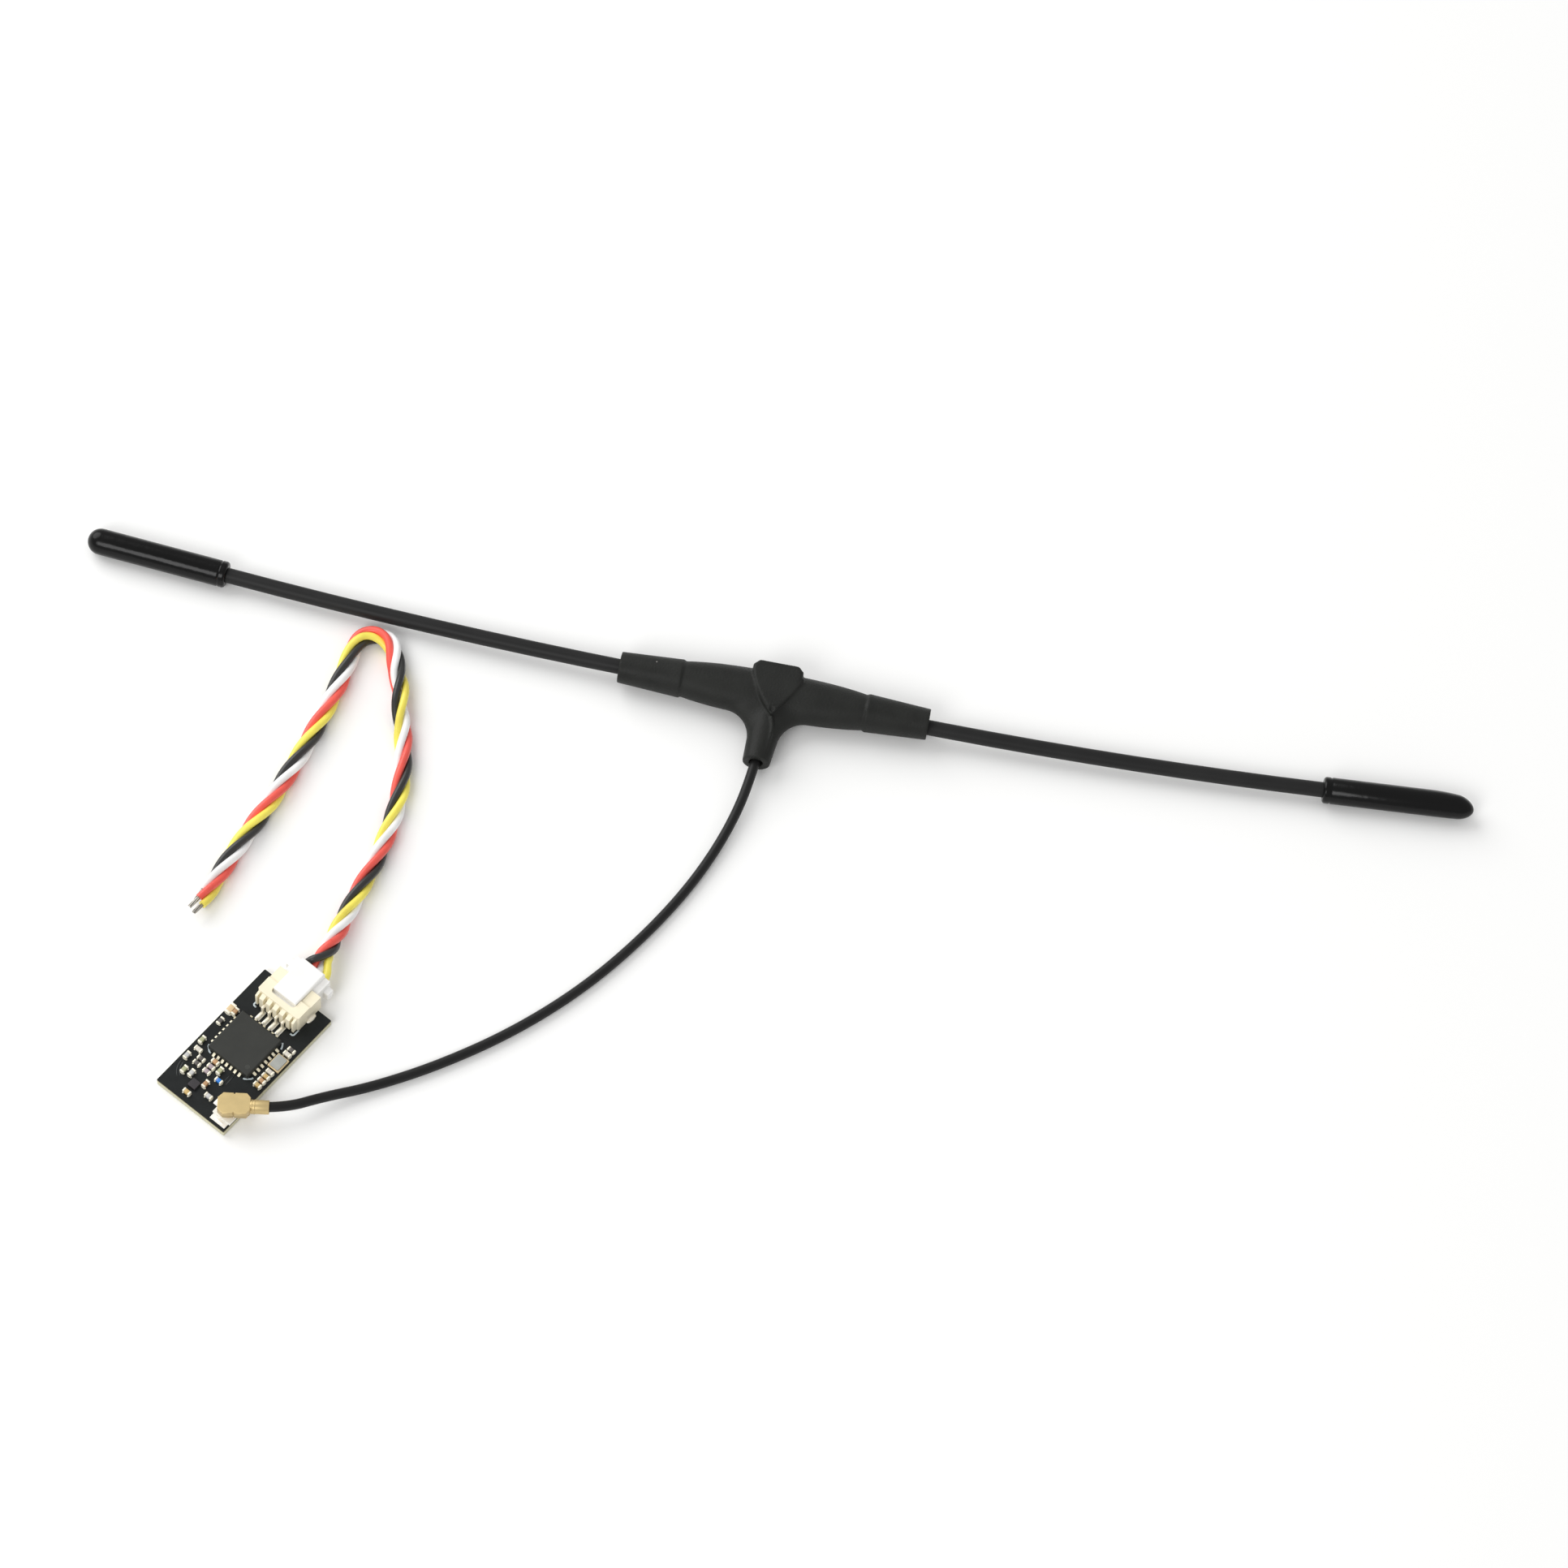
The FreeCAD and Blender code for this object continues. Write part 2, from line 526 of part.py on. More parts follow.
def chip_joints():
    joints = []
    half = CHIP_SIZE / 2
    profile = polygon([Vector(half, 0, 0), Vector(half + PAD_REACH, 0, 0),
                       Vector(half + PAD_REACH, 0, PAD_FOOT), Vector(half, 0, PAD_RISE)])
    for side in range(4):
        for number in range(PADS_A_SIDE):
            along = (number - (PADS_A_SIDE - 1) / 2) * PAD_PITCH
            wedge = profile.extrude(Vector(0, PAD_BREADTH, 0))
            wedge.translate(Vector(0, along - PAD_BREADTH / 2, 0))
            wedge.rotate(Vector(0, 0, 0), Vector(0, 0, 1), 90 * side)
            wedge.translate(Vector(CHIP_U, CHIP_V, 0))
            joints.append(wedge)
    return joints


def crystal():
    u = BOARD_WIDTH / 2 - CRYSTAL_EDGE_GAP - CRYSTAL_WIDTH / 2
    v = CHIP_V + CRYSTAL_LEAD
    base = box(u, v, 0, CRYSTAL_WIDTH, CRYSTAL_LENGTH, CRYSTAL_BASE_HEIGHT)
    lid = box(u, v, CRYSTAL_BASE_HEIGHT, CRYSTAL_WIDTH - 2 * CRYSTAL_LID_INSET,
              CRYSTAL_LENGTH - 2 * CRYSTAL_LID_INSET, CRYSTAL_LID_HEIGHT)
    upright = [edge for edge in lid.Edges if edge.BoundBox.ZLength > SEAT]
    return base, lid.makeFillet(CRYSTAL_LID_INSET, upright)


def chip_part(u, v, way, length, width, height, end):
    body = box(0, 0, 0, length - 2 * end, width, height)
    ends = [box(side * (length - end) / 2, 0, 0, end, width + 2 * END_PROUD, height + END_PROUD)
            for side in (-1, 1)]
    for shape in [body] + ends:
        if way == "v":
            shape.rotate(Vector(0, 0, 0), Vector(0, 0, 1), 90)
        shape.translate(Vector(u, v, 0))
    return body, ends


def small_part_places():
    places = [(kind, across - BOARD_WIDTH / 2, along - BOARD_LENGTH / 2, way)
              for kind, across, along, way in NEAR_PARTS]
    places += [(kind, across - BOARD_WIDTH / 2, CHIP_V + along, way)
               for kind, across, along, way in LEFT_PARTS]
    first = CRYSTAL_LENGTH / 2 + COLUMN_GAP + SMALL_WIDTH / 2
    for side, kinds in ((-1, BEFORE_CRYSTAL), (1, BEYOND_CRYSTAL)):
        for number, kind in enumerate(kinds):
            v = CHIP_V + CRYSTAL_LEAD + side * (first + number * COLUMN_STEP)
            places.append((kind, BOARD_WIDTH / 2 - RIGHT_COLUMN, v, "u"))
    return places


def chip_parts():
    bodies = {kind: [] for kind in PART_HEIGHTS}
    terminals = []
    for kind, u, v, way in small_part_places():
        body, ends = chip_part(u, v, way, SMALL_LENGTH, SMALL_WIDTH, PART_HEIGHTS[kind], SMALL_END)
        bodies[kind].append(body)
        terminals += ends
    across, along, way = LARGE_CAPACITOR_PLACE
    body, ends = chip_part(across - BOARD_WIDTH / 2, CHIP_V + along, way, LARGE_LENGTH, LARGE_WIDTH,
                           CAPACITOR_HEIGHT, LARGE_END)
    bodies["capacitor"].append(body)
    return bodies, terminals + ends


def switch_chip():
    across, along = SWITCH_CHIP_PLACE
    return box(across - BOARD_WIDTH / 2, along - BOARD_LENGTH / 2, 0,
               SWITCH_CHIP_SIZE, SWITCH_CHIP_SIZE, SWITCH_CHIP_HEIGHT)


# Header, its pins and the plug of the servo lead
def header_rear():
    return BOARD_LENGTH / 2 + HEADER_OVERHANG - HEADER_DEPTH


def header_front():
    return BOARD_LENGTH / 2 + HEADER_OVERHANG


def plug_rear():
    return header_front() + PLUG_BEHIND


def pin_places():
    return [(number - (PIN_COUNT - 1) / 2) * PIN_PITCH for number in range(PIN_COUNT)]


def header_housing():
    half = HEADER_WIDTH / 2
    rear = header_rear()
    front = header_front()
    corner = HEADER_REAR_CORNER
    outline = polygon([Vector(-half, front, 0), Vector(-half, rear + corner, 0),
                       Vector(-half + corner, rear, 0), Vector(half - corner, rear, 0),
                       Vector(half, rear + corner, 0), Vector(half, front, 0)])
    body = outline.extrude(Vector(0, 0, HEADER_HEIGHT))
    inner_v = rear + HEADER_REAR_WALL
    inner_depth = front - inner_v
    cavity = box(0, inner_v + (inner_depth + OVERSHOOT) / 2, HEADER_WALL, PLUG_WIDTH + 2 * SLIP,
                 inner_depth + OVERSHOOT, PLUG_HEIGHT + 2 * SLIP)
    notch_width = PLUG_BLOCK_WIDTH + 2 * SLIP
    notch = box(0, front - NOTCH_DEPTH + (NOTCH_DEPTH + OVERSHOOT) / 2, HEADER_WALL + PLUG_HEIGHT,
                notch_width, NOTCH_DEPTH + OVERSHOOT, HEADER_HEIGHT)
    corners = [edge for edge in notch.Edges
               if edge.BoundBox.ZLength > SEAT and edge.BoundBox.YMax < front]
    notch = notch.makeFillet(NOTCH_CORNER, corners)
    cutters = [cavity, notch]
    for side in (-1, 1):
        cutters.append(box(side * half, front - EAR_LENGTH + (EAR_LENGTH + OVERSHOOT) / 2,
                           HEADER_HEIGHT - EAR_DROP, HEADER_WIDTH - notch_width,
                           EAR_LENGTH + OVERSHOOT, EAR_DROP + OVERSHOOT))
        cutters.append(box(side * half, front - TAB_FRONT - TAB_LENGTH / 2, -OVERSHOOT,
                           2 * TAB_THICKNESS, TAB_LENGTH, TAB_RISE + OVERSHOOT))
    for u in pin_places():
        cutters.append(box(u, rear, -OVERSHOOT, PIN_SIZE + 2 * SLIP, 2 * HEADER_REAR_WALL + 2 * SEAT,
                           PIN_HEIGHT + PIN_SIZE / 2 + SLIP + OVERSHOOT))
    return joined([body.cut(cutters)] + header_ribs(rear))


def header_ribs(rear):
    profile = polygon([Vector(0, rear + SEAT, HEADER_RIB_FOOT),
                       Vector(0, rear - HEADER_RIB_DEPTH, HEADER_RIB_FOOT),
                       Vector(0, rear - HEADER_RIB_DEPTH, HEADER_RIB_TOP - HEADER_RIB_SLOPE),
                       Vector(0, rear + SEAT, HEADER_RIB_TOP)])
    places = [((number - PIN_COUNT / 2) * PIN_PITCH, HEADER_RIB_WIDTH) for number in range(PIN_COUNT + 1)]
    post = HEADER_WIDTH / 2 - HEADER_REAR_CORNER - HEADER_POST_WIDTH / 2
    places += [(-post, HEADER_POST_WIDTH), (post, HEADER_POST_WIDTH)]
    ribs = []
    for u, width in places:
        rib = profile.extrude(Vector(width, 0, 0))
        rib.translate(Vector(u - width / 2, 0, 0))
        ribs.append(rib)
    return ribs


def header_pins():
    rear = header_rear()
    half = PIN_SIZE / 2
    drop = rear - PIN_DROP_GAP
    blade = rear + HEADER_REAR_WALL + PIN_BLADE
    profile = polygon([Vector(0, blade, PIN_HEIGHT - half), Vector(0, blade, PIN_HEIGHT + half),
                       Vector(0, drop - half, PIN_HEIGHT + half), Vector(0, drop - half, PIN_SIZE),
                       Vector(0, drop - PIN_TAIL, PIN_SIZE), Vector(0, drop - PIN_TAIL, 0),
                       Vector(0, drop + half, 0), Vector(0, drop + half, PIN_HEIGHT - half)])
    pins = []
    for u in pin_places():
        pin = profile.extrude(Vector(PIN_SIZE, 0, 0))
        pin.translate(Vector(u - half, 0, 0))
        pins.append(pin)
    return pins


def header_tabs():
    tabs = []
    v = header_front() - TAB_FRONT - TAB_LENGTH / 2
    for side in (-1, 1):
        inner = HEADER_WIDTH / 2 - TAB_THICKNESS
        upright = box(side * (inner + TAB_THICKNESS / 2), v, 0, TAB_THICKNESS, TAB_LENGTH, TAB_RISE)
        foot = box(side * (HEADER_WIDTH / 2 + TAB_WIDTH / 2), v, 0, TAB_WIDTH, TAB_LENGTH, TAB_THICKNESS)
        tabs.append(joined([upright, foot]))
    return tabs


def plug_front():
    return header_rear() + HEADER_REAR_WALL + PLUG_FRONT_GAP


def plug_housing():
    front, rear = plug_front(), plug_rear()
    middle = (front + rear) / 2
    bottom = HEADER_WALL + SLIP
    body = box(0, middle, bottom, PLUG_WIDTH, rear - front, PLUG_HEIGHT)
    block_start = header_front() - NOTCH_DEPTH + SLIP + NOTCH_CORNER
    block = box(0, (block_start + rear) / 2, bottom, PLUG_BLOCK_WIDTH, rear - block_start,
                HEADER_HEIGHT + PLUG_ABOVE - bottom)
    edges = [edge for edge in block.Edges if edge.BoundBox.ZMin > HEADER_HEIGHT + PLUG_ABOVE - SEAT]
    block = block.makeFillet(PLUG_EDGE, edges)
    lugs = []
    for side in (-1, 1):
        lug = box(side * (PLUG_WIDTH + PLUG_LUG_WIDTH) / 2, rear - PLUG_LUG_INSET - PLUG_LUG_LENGTH / 2,
                  bottom, PLUG_LUG_WIDTH, PLUG_LUG_LENGTH, PLUG_LUG_HEIGHT)
        outer = [edge for edge in lug.Edges
                 if edge.BoundBox.ZLength > SEAT and abs(edge.BoundBox.Center.x) > PLUG_WIDTH / 2 + SEAT]
        lugs.append(lug.makeFillet(PLUG_EDGE, outer))
    whole = joined([body, block] + lugs)
    channels = [box(u, middle, PIN_HEIGHT - CONTACT_SIZE / 2 - SEAT, CONTACT_SIZE + 2 * SEAT,
                    rear - front + 2 * OVERSHOOT, CONTACT_SIZE + 2 * SEAT) for u in pin_places()]
    return whole.cut(channels)


def crimp_contacts():
    front, rear = plug_front() + SLIP, plug_rear() - CONTACT_REAR
    contacts = []
    for u in pin_places():
        contact = box(u, (front + rear) / 2, PIN_HEIGHT - CONTACT_SIZE / 2,
                      CONTACT_SIZE, rear - front, CONTACT_SIZE)
        blade_room = box(u, front, PIN_HEIGHT - PIN_SIZE / 2 - SLIP, PIN_SIZE + 2 * SLIP,
                         2 * (PIN_BLADE + SLIP), PIN_SIZE + 2 * SLIP)
        contacts.append(contact.cut(blade_room))
    return contacts


# Coaxial socket and plug
def socket_centre():
    return BOARD_WIDTH / 2 - SOCKET_CORNER_U, -BOARD_LENGTH / 2 + SOCKET_CORNER_V


def coax_height():
    return COAX_PLUG_TOP - COAX_BARREL_DIAMETER / 2


def coax_plug_point(reach):
    u, v = socket_centre()
    turn = math.radians(COAX_PLUG_TURN)
    return board_point(u + reach * math.cos(turn), v + reach * math.sin(turn), coax_height())


def on_socket(shape, turn=0.0):
    u, v = socket_centre()
    moved = shape.copy()
    moved.rotate(Vector(0, 0, 0), Vector(0, 0, 1), turn)
    moved.translate(Vector(u, v, 0))
    return on_board(moved)


def socket_parts():
    ring_radius = SOCKET_RING_DIAMETER / 2
    bore = ring_radius - SOCKET_RING_WALL
    base = box(0, 0, 0, SOCKET_BASE_SIZE, SOCKET_BASE_SIZE, SOCKET_BASE_HEIGHT)
    shell = ring(ring_radius, bore, SOCKET_BASE_HEIGHT, SOCKET_HEIGHT - SOCKET_BASE_HEIGHT)
    feet = []
    half = SOCKET_BASE_SIZE / 2
    for side in (-1, 1):
        feet.append(box(0, side * (half + SOCKET_FOOT_REACH / 2), 0, SOCKET_FOOT_WIDTH, SOCKET_FOOT_REACH,
                        SOCKET_FOOT_THICKNESS))
    feet.append(box(-half - SOCKET_FOOT_REACH / 2, 0, 0, SOCKET_FOOT_REACH, SIGNAL_FOOT_WIDTH,
                    SOCKET_FOOT_THICKNESS))
    pin = cylinder(SOCKET_PIN_DIAMETER / 2, (0, 0, SOCKET_BASE_HEIGHT), (0, 0, SOCKET_HEIGHT - SLIP))
    return base, shell, feet, pin


def coax_plug_sheet(z):
    """The formed sheet: a head with round front corners, two notches, and a barrel round the cable."""
    half = COAX_PLUG_WIDTH / 2
    barrel = COAX_BARREL_DIAMETER / 2
    height = COAX_PLUG_TOP - COAX_PLUG_BOTTOM
    outline = polygon([Vector(-COAX_PLUG_FRONT, -half, COAX_PLUG_BOTTOM),
                       Vector(COAX_WING_END, -half, COAX_PLUG_BOTTOM),
                       Vector(COAX_NECK_END, -barrel, COAX_PLUG_BOTTOM),
                       Vector(COAX_NECK_END, barrel, COAX_PLUG_BOTTOM),
                       Vector(COAX_WING_END, half, COAX_PLUG_BOTTOM),
                       Vector(-COAX_PLUG_FRONT, half, COAX_PLUG_BOTTOM)])
    body = outline.extrude(Vector(0, 0, height))
    front = [edge for edge in body.Edges
             if edge.BoundBox.ZLength > SEAT and edge.BoundBox.XMax < -COAX_PLUG_FRONT + SEAT]
    body = body.makeFillet(COAX_PLUG_NOSE, front)
    rims = [edge for edge in body.Edges if edge.BoundBox.ZMin > COAX_PLUG_TOP - SEAT]
    body = body.makeFillet(COAX_PLUG_SHEET, rims)
    notches = [box(COAX_NOTCH_START + COAX_NOTCH_WIDTH / 2, side * half, 0, COAX_NOTCH_WIDTH,
                   2 * COAX_NOTCH_DEPTH, COAX_PLUG_TOP + OVERSHOOT) for side in (-1, 1)]
    crimp = cylinder(barrel, (0, 0, z), (COAX_BARREL_END, 0, z))
    return joined([body.cut(notches), crimp])


def coax_plug_parts():
    z = coax_height()
    shell = coax_plug_sheet(z)
    ring_room = SOCKET_RING_DIAMETER / 2 + SEAT
    cup_top = SOCKET_HEIGHT + COAX_DISC_HEIGHT
    cup = cylinder(ring_room, (0, 0, 0), (0, 0, cup_top))
    cable_room = cylinder(COAX_DIAMETER / 2 + SEAT, (COAX_BARREL_END - COAX_IN_BARREL - SEAT, 0, z),
                          (COAX_BARREL_END + OVERSHOOT, 0, z))
    shell = shell.cut([cup, cable_room])
    pin_room = SOCKET_PIN_DIAMETER / 2 + SEAT
    bottom = SOCKET_BASE_HEIGHT + SLIP
    contact = ring(pin_room + COAX_CONTACT_WALL, pin_room, bottom, SOCKET_HEIGHT - bottom)
    in_socket = SOCKET_RING_DIAMETER / 2 - SOCKET_RING_WALL - SLIP
    plug_of_plastic = cylinder(in_socket, (0, 0, bottom), (0, 0, SOCKET_HEIGHT + SLIP))
    disc = cylinder(ring_room - SEAT, (0, 0, SOCKET_HEIGHT + SLIP), (0, 0, cup_top))
    insulator = joined([plug_of_plastic, disc])
    inner_room = cylinder(pin_room + COAX_CONTACT_WALL, (0, 0, 0), (0, 0, SOCKET_HEIGHT))
    return shell, insulator.cut(inner_room), contact


# Servo lead
def wire_corner(number):
    side = 1 if number % 2 else -1
    level = 1 if number // 2 else -1
    return side * WIRE_OFFSET, level * WIRE_OFFSET


def across_and_up(direction):
    ahead = Vector(direction).normalize()
    across = ahead.cross(Vector(0, 0, 1)).normalize()
    return ahead, across, across.cross(ahead)


# The wires in the plug's order, each with its corner in the twist: 0 and 1 lie below, 2 and 3 above
WIRE_CORNERS = {"black": 0, "red": 2, "white": 1, "yellow": 3}


def wire_stubs(colour, number):
    places = pin_places()
    route = [Vector(*point) for point in BUNDLE_ROUTE]
    ahead, across, up = across_and_up(route[1] - route[0])
    side, level = wire_corner(WIRE_CORNERS[colour])
    join = route[0] + across * side + up * level
    plug_exit = board_point(places[number], plug_rear(), PIN_HEIGHT)
    out = board_point(places[number], plug_rear() + LEAD_STRAIGHT, PIN_HEIGHT)
    into = join - ahead * LEAD_STRAIGHT
    parted = out + (into - out) * LEAD_PARTING + Vector(0, 0, level)
    lead = tube("lead " + colour, [plug_exit, out, parted, into, join], WIRE_DIAMETER)
    ahead, across, up = across_and_up(route[-1] - route[-2])
    leave = route[-1] + across * side + up * level
    far = leave + ahead * FREE_LENGTH
    tail = cylinder(WIRE_DIAMETER / 2, leave, far)
    tip = cylinder(TINNED_DIAMETER / 2, far, far + ahead * TINNED_LENGTH)
    return [lead, tail], tip


def build():
    os.makedirs("parts", exist_ok=True)
    pieces = {}
    pieces["tee_moulding"] = tee_moulding()
    for side, name in ((-1, "left"), (1, "right")):
        pieces[name + "_element_sleeve"] = element_sleeve(side)
        pieces[name + "_radiator"] = radiator(side)
        pieces[name + "_end_cap"] = end_cap(side)
    core, braid, joints = feed_parts()
    pieces["coax_core_tail"] = core
    pieces["coax_braid_tail"] = braid
    pieces["feed_solder_joints"] = joints
    pieces["coax_cable"] = tube("coax", coax_points(), COAX_DIAMETER)

    pieces["circuit_board"] = on_board(circuit_board())
    pieces["transceiver_chip"] = on_board(transceiver_chip())
    pieces["chip_solder_joints"] = [on_board(joint) for joint in chip_joints()]
    base, lid = crystal()
    pieces["crystal_base"] = on_board(base)
    pieces["crystal_lid"] = on_board(lid)
    bodies, terminals = chip_parts()
    for kind, node in (("capacitor", "capacitor_bodies"), ("resistor", "resistor_bodies"),
                       ("inductor", "inductor_bodies"), ("led", "status_led")):
        pieces[node] = [on_board(shape) for shape in bodies[kind]]
    pieces["chip_part_terminals"] = [on_board(shape) for shape in terminals]
    pieces["switch_chip"] = on_board(switch_chip())
    pieces["header_housing"] = on_board(header_housing())
    pieces["header_pins"] = [on_board(pin) for pin in header_pins()]
    pieces["header_anchor_tabs"] = [on_board(tab) for tab in header_tabs()]
    pieces["plug_housing"] = on_board(plug_housing())
    pieces["crimp_contacts"] = [on_board(contact) for contact in crimp_contacts()]

    base, shell, feet, pin = socket_parts()
    pieces["socket_base"] = on_socket(base)
    pieces["socket_shell"] = on_socket(shell)
    pieces["socket_feet"] = [on_socket(foot) for foot in feet]
    pieces["socket_centre_pin"] = on_socket(pin)
    shell, insulator, contact = coax_plug_parts()
    pieces["coax_plug_shell"] = on_socket(shell, COAX_PLUG_TURN)
    pieces["coax_plug_insulator"] = on_socket(insulator, COAX_PLUG_TURN)
    pieces["coax_plug_contact"] = on_socket(contact, COAX_PLUG_TURN)

    pieces["wire_bundle"] = tube("bundle", [Vector(*point) for point in BUNDLE_ROUTE], BUNDLE_DIAMETER)
    tips = []
    for number, colour in enumerate(WIRE_CORNERS):
        stubs, tip = wire_stubs(colour, number)
        pieces["wire_" + colour] = stubs
        tips.append(tip)
    pieces["tinned_wire_ends"] = tips
    for node, shapes in pieces.items():
        whole = save(node, shapes)
        box_of = whole.BoundBox
        print("%-22s solids %2d volume %8.3f z %.2f to %.2f valid %s" % (
            node, len(whole.Solids), whole.Volume, box_of.ZMin, box_of.ZMax, whole.isValid()))


if __name__ == "__main__":
    build()
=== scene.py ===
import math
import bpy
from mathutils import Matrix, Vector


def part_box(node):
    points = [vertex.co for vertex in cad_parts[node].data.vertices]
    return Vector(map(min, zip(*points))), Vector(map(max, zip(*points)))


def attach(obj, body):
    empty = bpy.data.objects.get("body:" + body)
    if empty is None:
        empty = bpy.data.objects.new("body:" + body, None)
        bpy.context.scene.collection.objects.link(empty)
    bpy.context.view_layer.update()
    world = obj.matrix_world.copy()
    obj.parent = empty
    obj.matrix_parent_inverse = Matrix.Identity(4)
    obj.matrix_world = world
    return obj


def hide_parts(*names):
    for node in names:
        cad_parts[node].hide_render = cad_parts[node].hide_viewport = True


bl_info = {
    "name": "Radio control receiver",
    "version": (1, 0, 0),
    "blender": (4, 5, 0),
    "location": "3D View > Sidebar > Receiver",
    "description": "Finishes a small radio control receiver with its tee antenna and servo lead",
    "category": "Object",
}

import bmesh
import bpy
from bpy.props import FloatProperty, FloatVectorProperty, IntProperty, PointerProperty
from mathutils import Matrix, Vector

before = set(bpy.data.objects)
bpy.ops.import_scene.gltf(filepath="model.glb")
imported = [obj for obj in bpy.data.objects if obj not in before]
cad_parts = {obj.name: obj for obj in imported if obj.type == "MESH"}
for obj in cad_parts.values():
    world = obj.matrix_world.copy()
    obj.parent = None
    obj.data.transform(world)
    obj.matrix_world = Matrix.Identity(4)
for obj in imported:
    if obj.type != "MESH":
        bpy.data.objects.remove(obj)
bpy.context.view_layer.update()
BODY = "root"
MM = 0.001
UP = Vector((0, 0, 1))
MERGE = 0.002 * MM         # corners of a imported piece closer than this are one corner
SAME_PLANE = math.radians(1)
SHARP = math.radians(25)
FINE_EDGE = 0.05 * MM      # width of a small piece's eased edges

# Routes of the cords, in millimetres. The cable's bows out up to 0.7 mm more than its solid does, and its
# last two points lie in the tee's stem.
COAX_ROUTE = [(-41.3, -62.05, 1.35), (-36.2, -59.4, 0.72), (-29.25, -55.05, 0.62), (-21.7, -49.1, 0.62),
              (-14.7, -41.75, 0.62), (-8.95, -33.45, 0.62), (-4.55, -25.05, 0.66), (-1.65, -16.7, 1.15),
              (-0.5, -9.3, 2.2), (-0.118, -2.2, 2.429)]
BUNDLE_ROUTE = [(-44.4, -42.2, 1.95), (-43.3, -36.7, 1.3), (-41.55, -29.6, 1.14), (-40.75, -21.6, 1.14),
                (-42.1, -13.7, 1.14), (-44.65, -5.6, 1.14), (-45.95, -1.75, 1.14), (-48.25, -0.8, 1.14),
                (-50.35, -2.05, 1.14), (-50.85, -7.3, 1.14), (-52.7, -16.0, 1.14), (-55.3, -24.9, 1.14),
                (-58.0, -32.2, 1.14), (-59.55, -37.0, 1.14)]

# Places on the board, in millimetres from the middle of its top: across, along and up
BOARD = Matrix()           # where the board lies, which main works out
CHIP_DOT = (1.96, -1.7)
SOCKET_MIDDLE = (3.8, -7.0)
PLUG_TURN = math.radians(38)
BARREL_HEIGHT = 1.48
PLUG_REAR = 12.2
PIN_HEIGHT = 1.4
PIN_ROW = (-1.5, -0.5, 0.5, 1.5)


def srgb(red, green, blue):
    """The linear colour of a screen colour given from 0 to 255."""
    shares = [part / 255 for part in (red, green, blue)]
    return tuple(s / 12.92 if s <= 0.04045 else ((s + 0.055) / 1.055) ** 2.4 for s in shares)


def toned(colour, factor):
    return tuple(min(1.0, part * factor) for part in colour)


def tint(name, holder, red, green, blue):
    return FloatVectorProperty(name=name, description="Colour of the " + holder, subtype="COLOR", size=3,
                               min=0, max=1, default=srgb(red, green, blue))


def size(name, description, millimetres):
    return FloatProperty(name=name, description=description, default=millimetres * MM, precision=6,
                         unit="LENGTH")


def angle(name, description, degrees):
    return FloatProperty(name=name, description=description, default=math.radians(degrees), subtype="ANGLE",
                         unit="ROTATION")


class ReceiverStage(bpy.types.PropertyGroup):
    floor_colour: tint("Floor", "table", 254, 254, 253)
    floor_width: size("Floor width", "Width of the table", 2400)
    elevation: angle("Elevation", "How high the camera looks down from", 61.48)
    azimuth: angle("Azimuth", "How far the camera stands to the right", 3.75)
    roll: angle("Roll", "How far the camera is turned about its own axis", 7.29)
    distance: size("Distance", "From the camera to the point that it looks at", 700)
    lens: FloatProperty(name="Lens", description="Focal length of the camera", default=135.2, unit="CAMERA")
    sky: FloatProperty(name="Sky", description="Light from all around", default=0.57)
    key: FloatProperty(name="Key light", description="Light of the large lamp behind, on the left",
                       default=0.39)
    front: FloatProperty(name="Front light", description="Light of the lamp in front, on the left",
                         default=0.2)


class ReceiverAntenna(bpy.types.PropertyGroup):
    tee_colour: tint("Tee", "rubber tee", 33, 34, 32)
    tee_grid: size("Tee grid", "Width of the grid that softens the tee", 0.115)
    tee_passes: IntProperty(name="Tee smoothing", description="Passes that soften the tee", default=3)
    sleeve_colour: tint("Sleeves", "antenna elements", 33, 33, 33)
    cap_colour: tint("End caps", "vinyl caps", 7, 7, 7)
    coax_colour: tint("Coaxial jacket", "coaxial cable", 26, 26, 26)
    coax_diameter: size("Coaxial diameter", "Outer diameter of the coaxial cable", 1.2)
    coax_length: size("Coaxial length", "Length of the coaxial cable", 85.1)


class ReceiverBoard(bpy.types.PropertyGroup):
    turn: angle("Turn", "How far the board is turned on the table", -28.9)
    mask: tint("Solder mask", "board's faces", 27, 30, 30)
    laminate: tint("Laminate", "board's edge", 208, 204, 176)
    silk: tint("Marks", "printed marks", 196, 208, 212)
    epoxy: tint("Chip", "chip's moulding", 52, 53, 50)
    solder: tint("Solder", "solder", 247, 243, 230)
    gold: tint("Gold plating", "gold plating", 212, 188, 134)
    header: tint("Header", "header", 247, 238, 210)
    plug: tint("Plug", "servo lead's plug", 248, 247, 244)
    edge: size("Edge", "Width of a moulded piece's eased edges", 0.07)


class ReceiverLead(bpy.types.PropertyGroup):
    wire_diameter: size("Wire diameter", "Outer diameter of one wire", 0.93)
    turn_length: size("Turn", "Length in which the four wires turn once round each other", 13.94)
    black: tint("Black wire", "first wire", 44, 44, 43)
    red: tint("Red wire", "second wire", 240, 92, 80)
    white: tint("White wire", "third wire", 248, 247, 245)
    yellow: tint("Yellow wire", "fourth wire", 248, 230, 96)


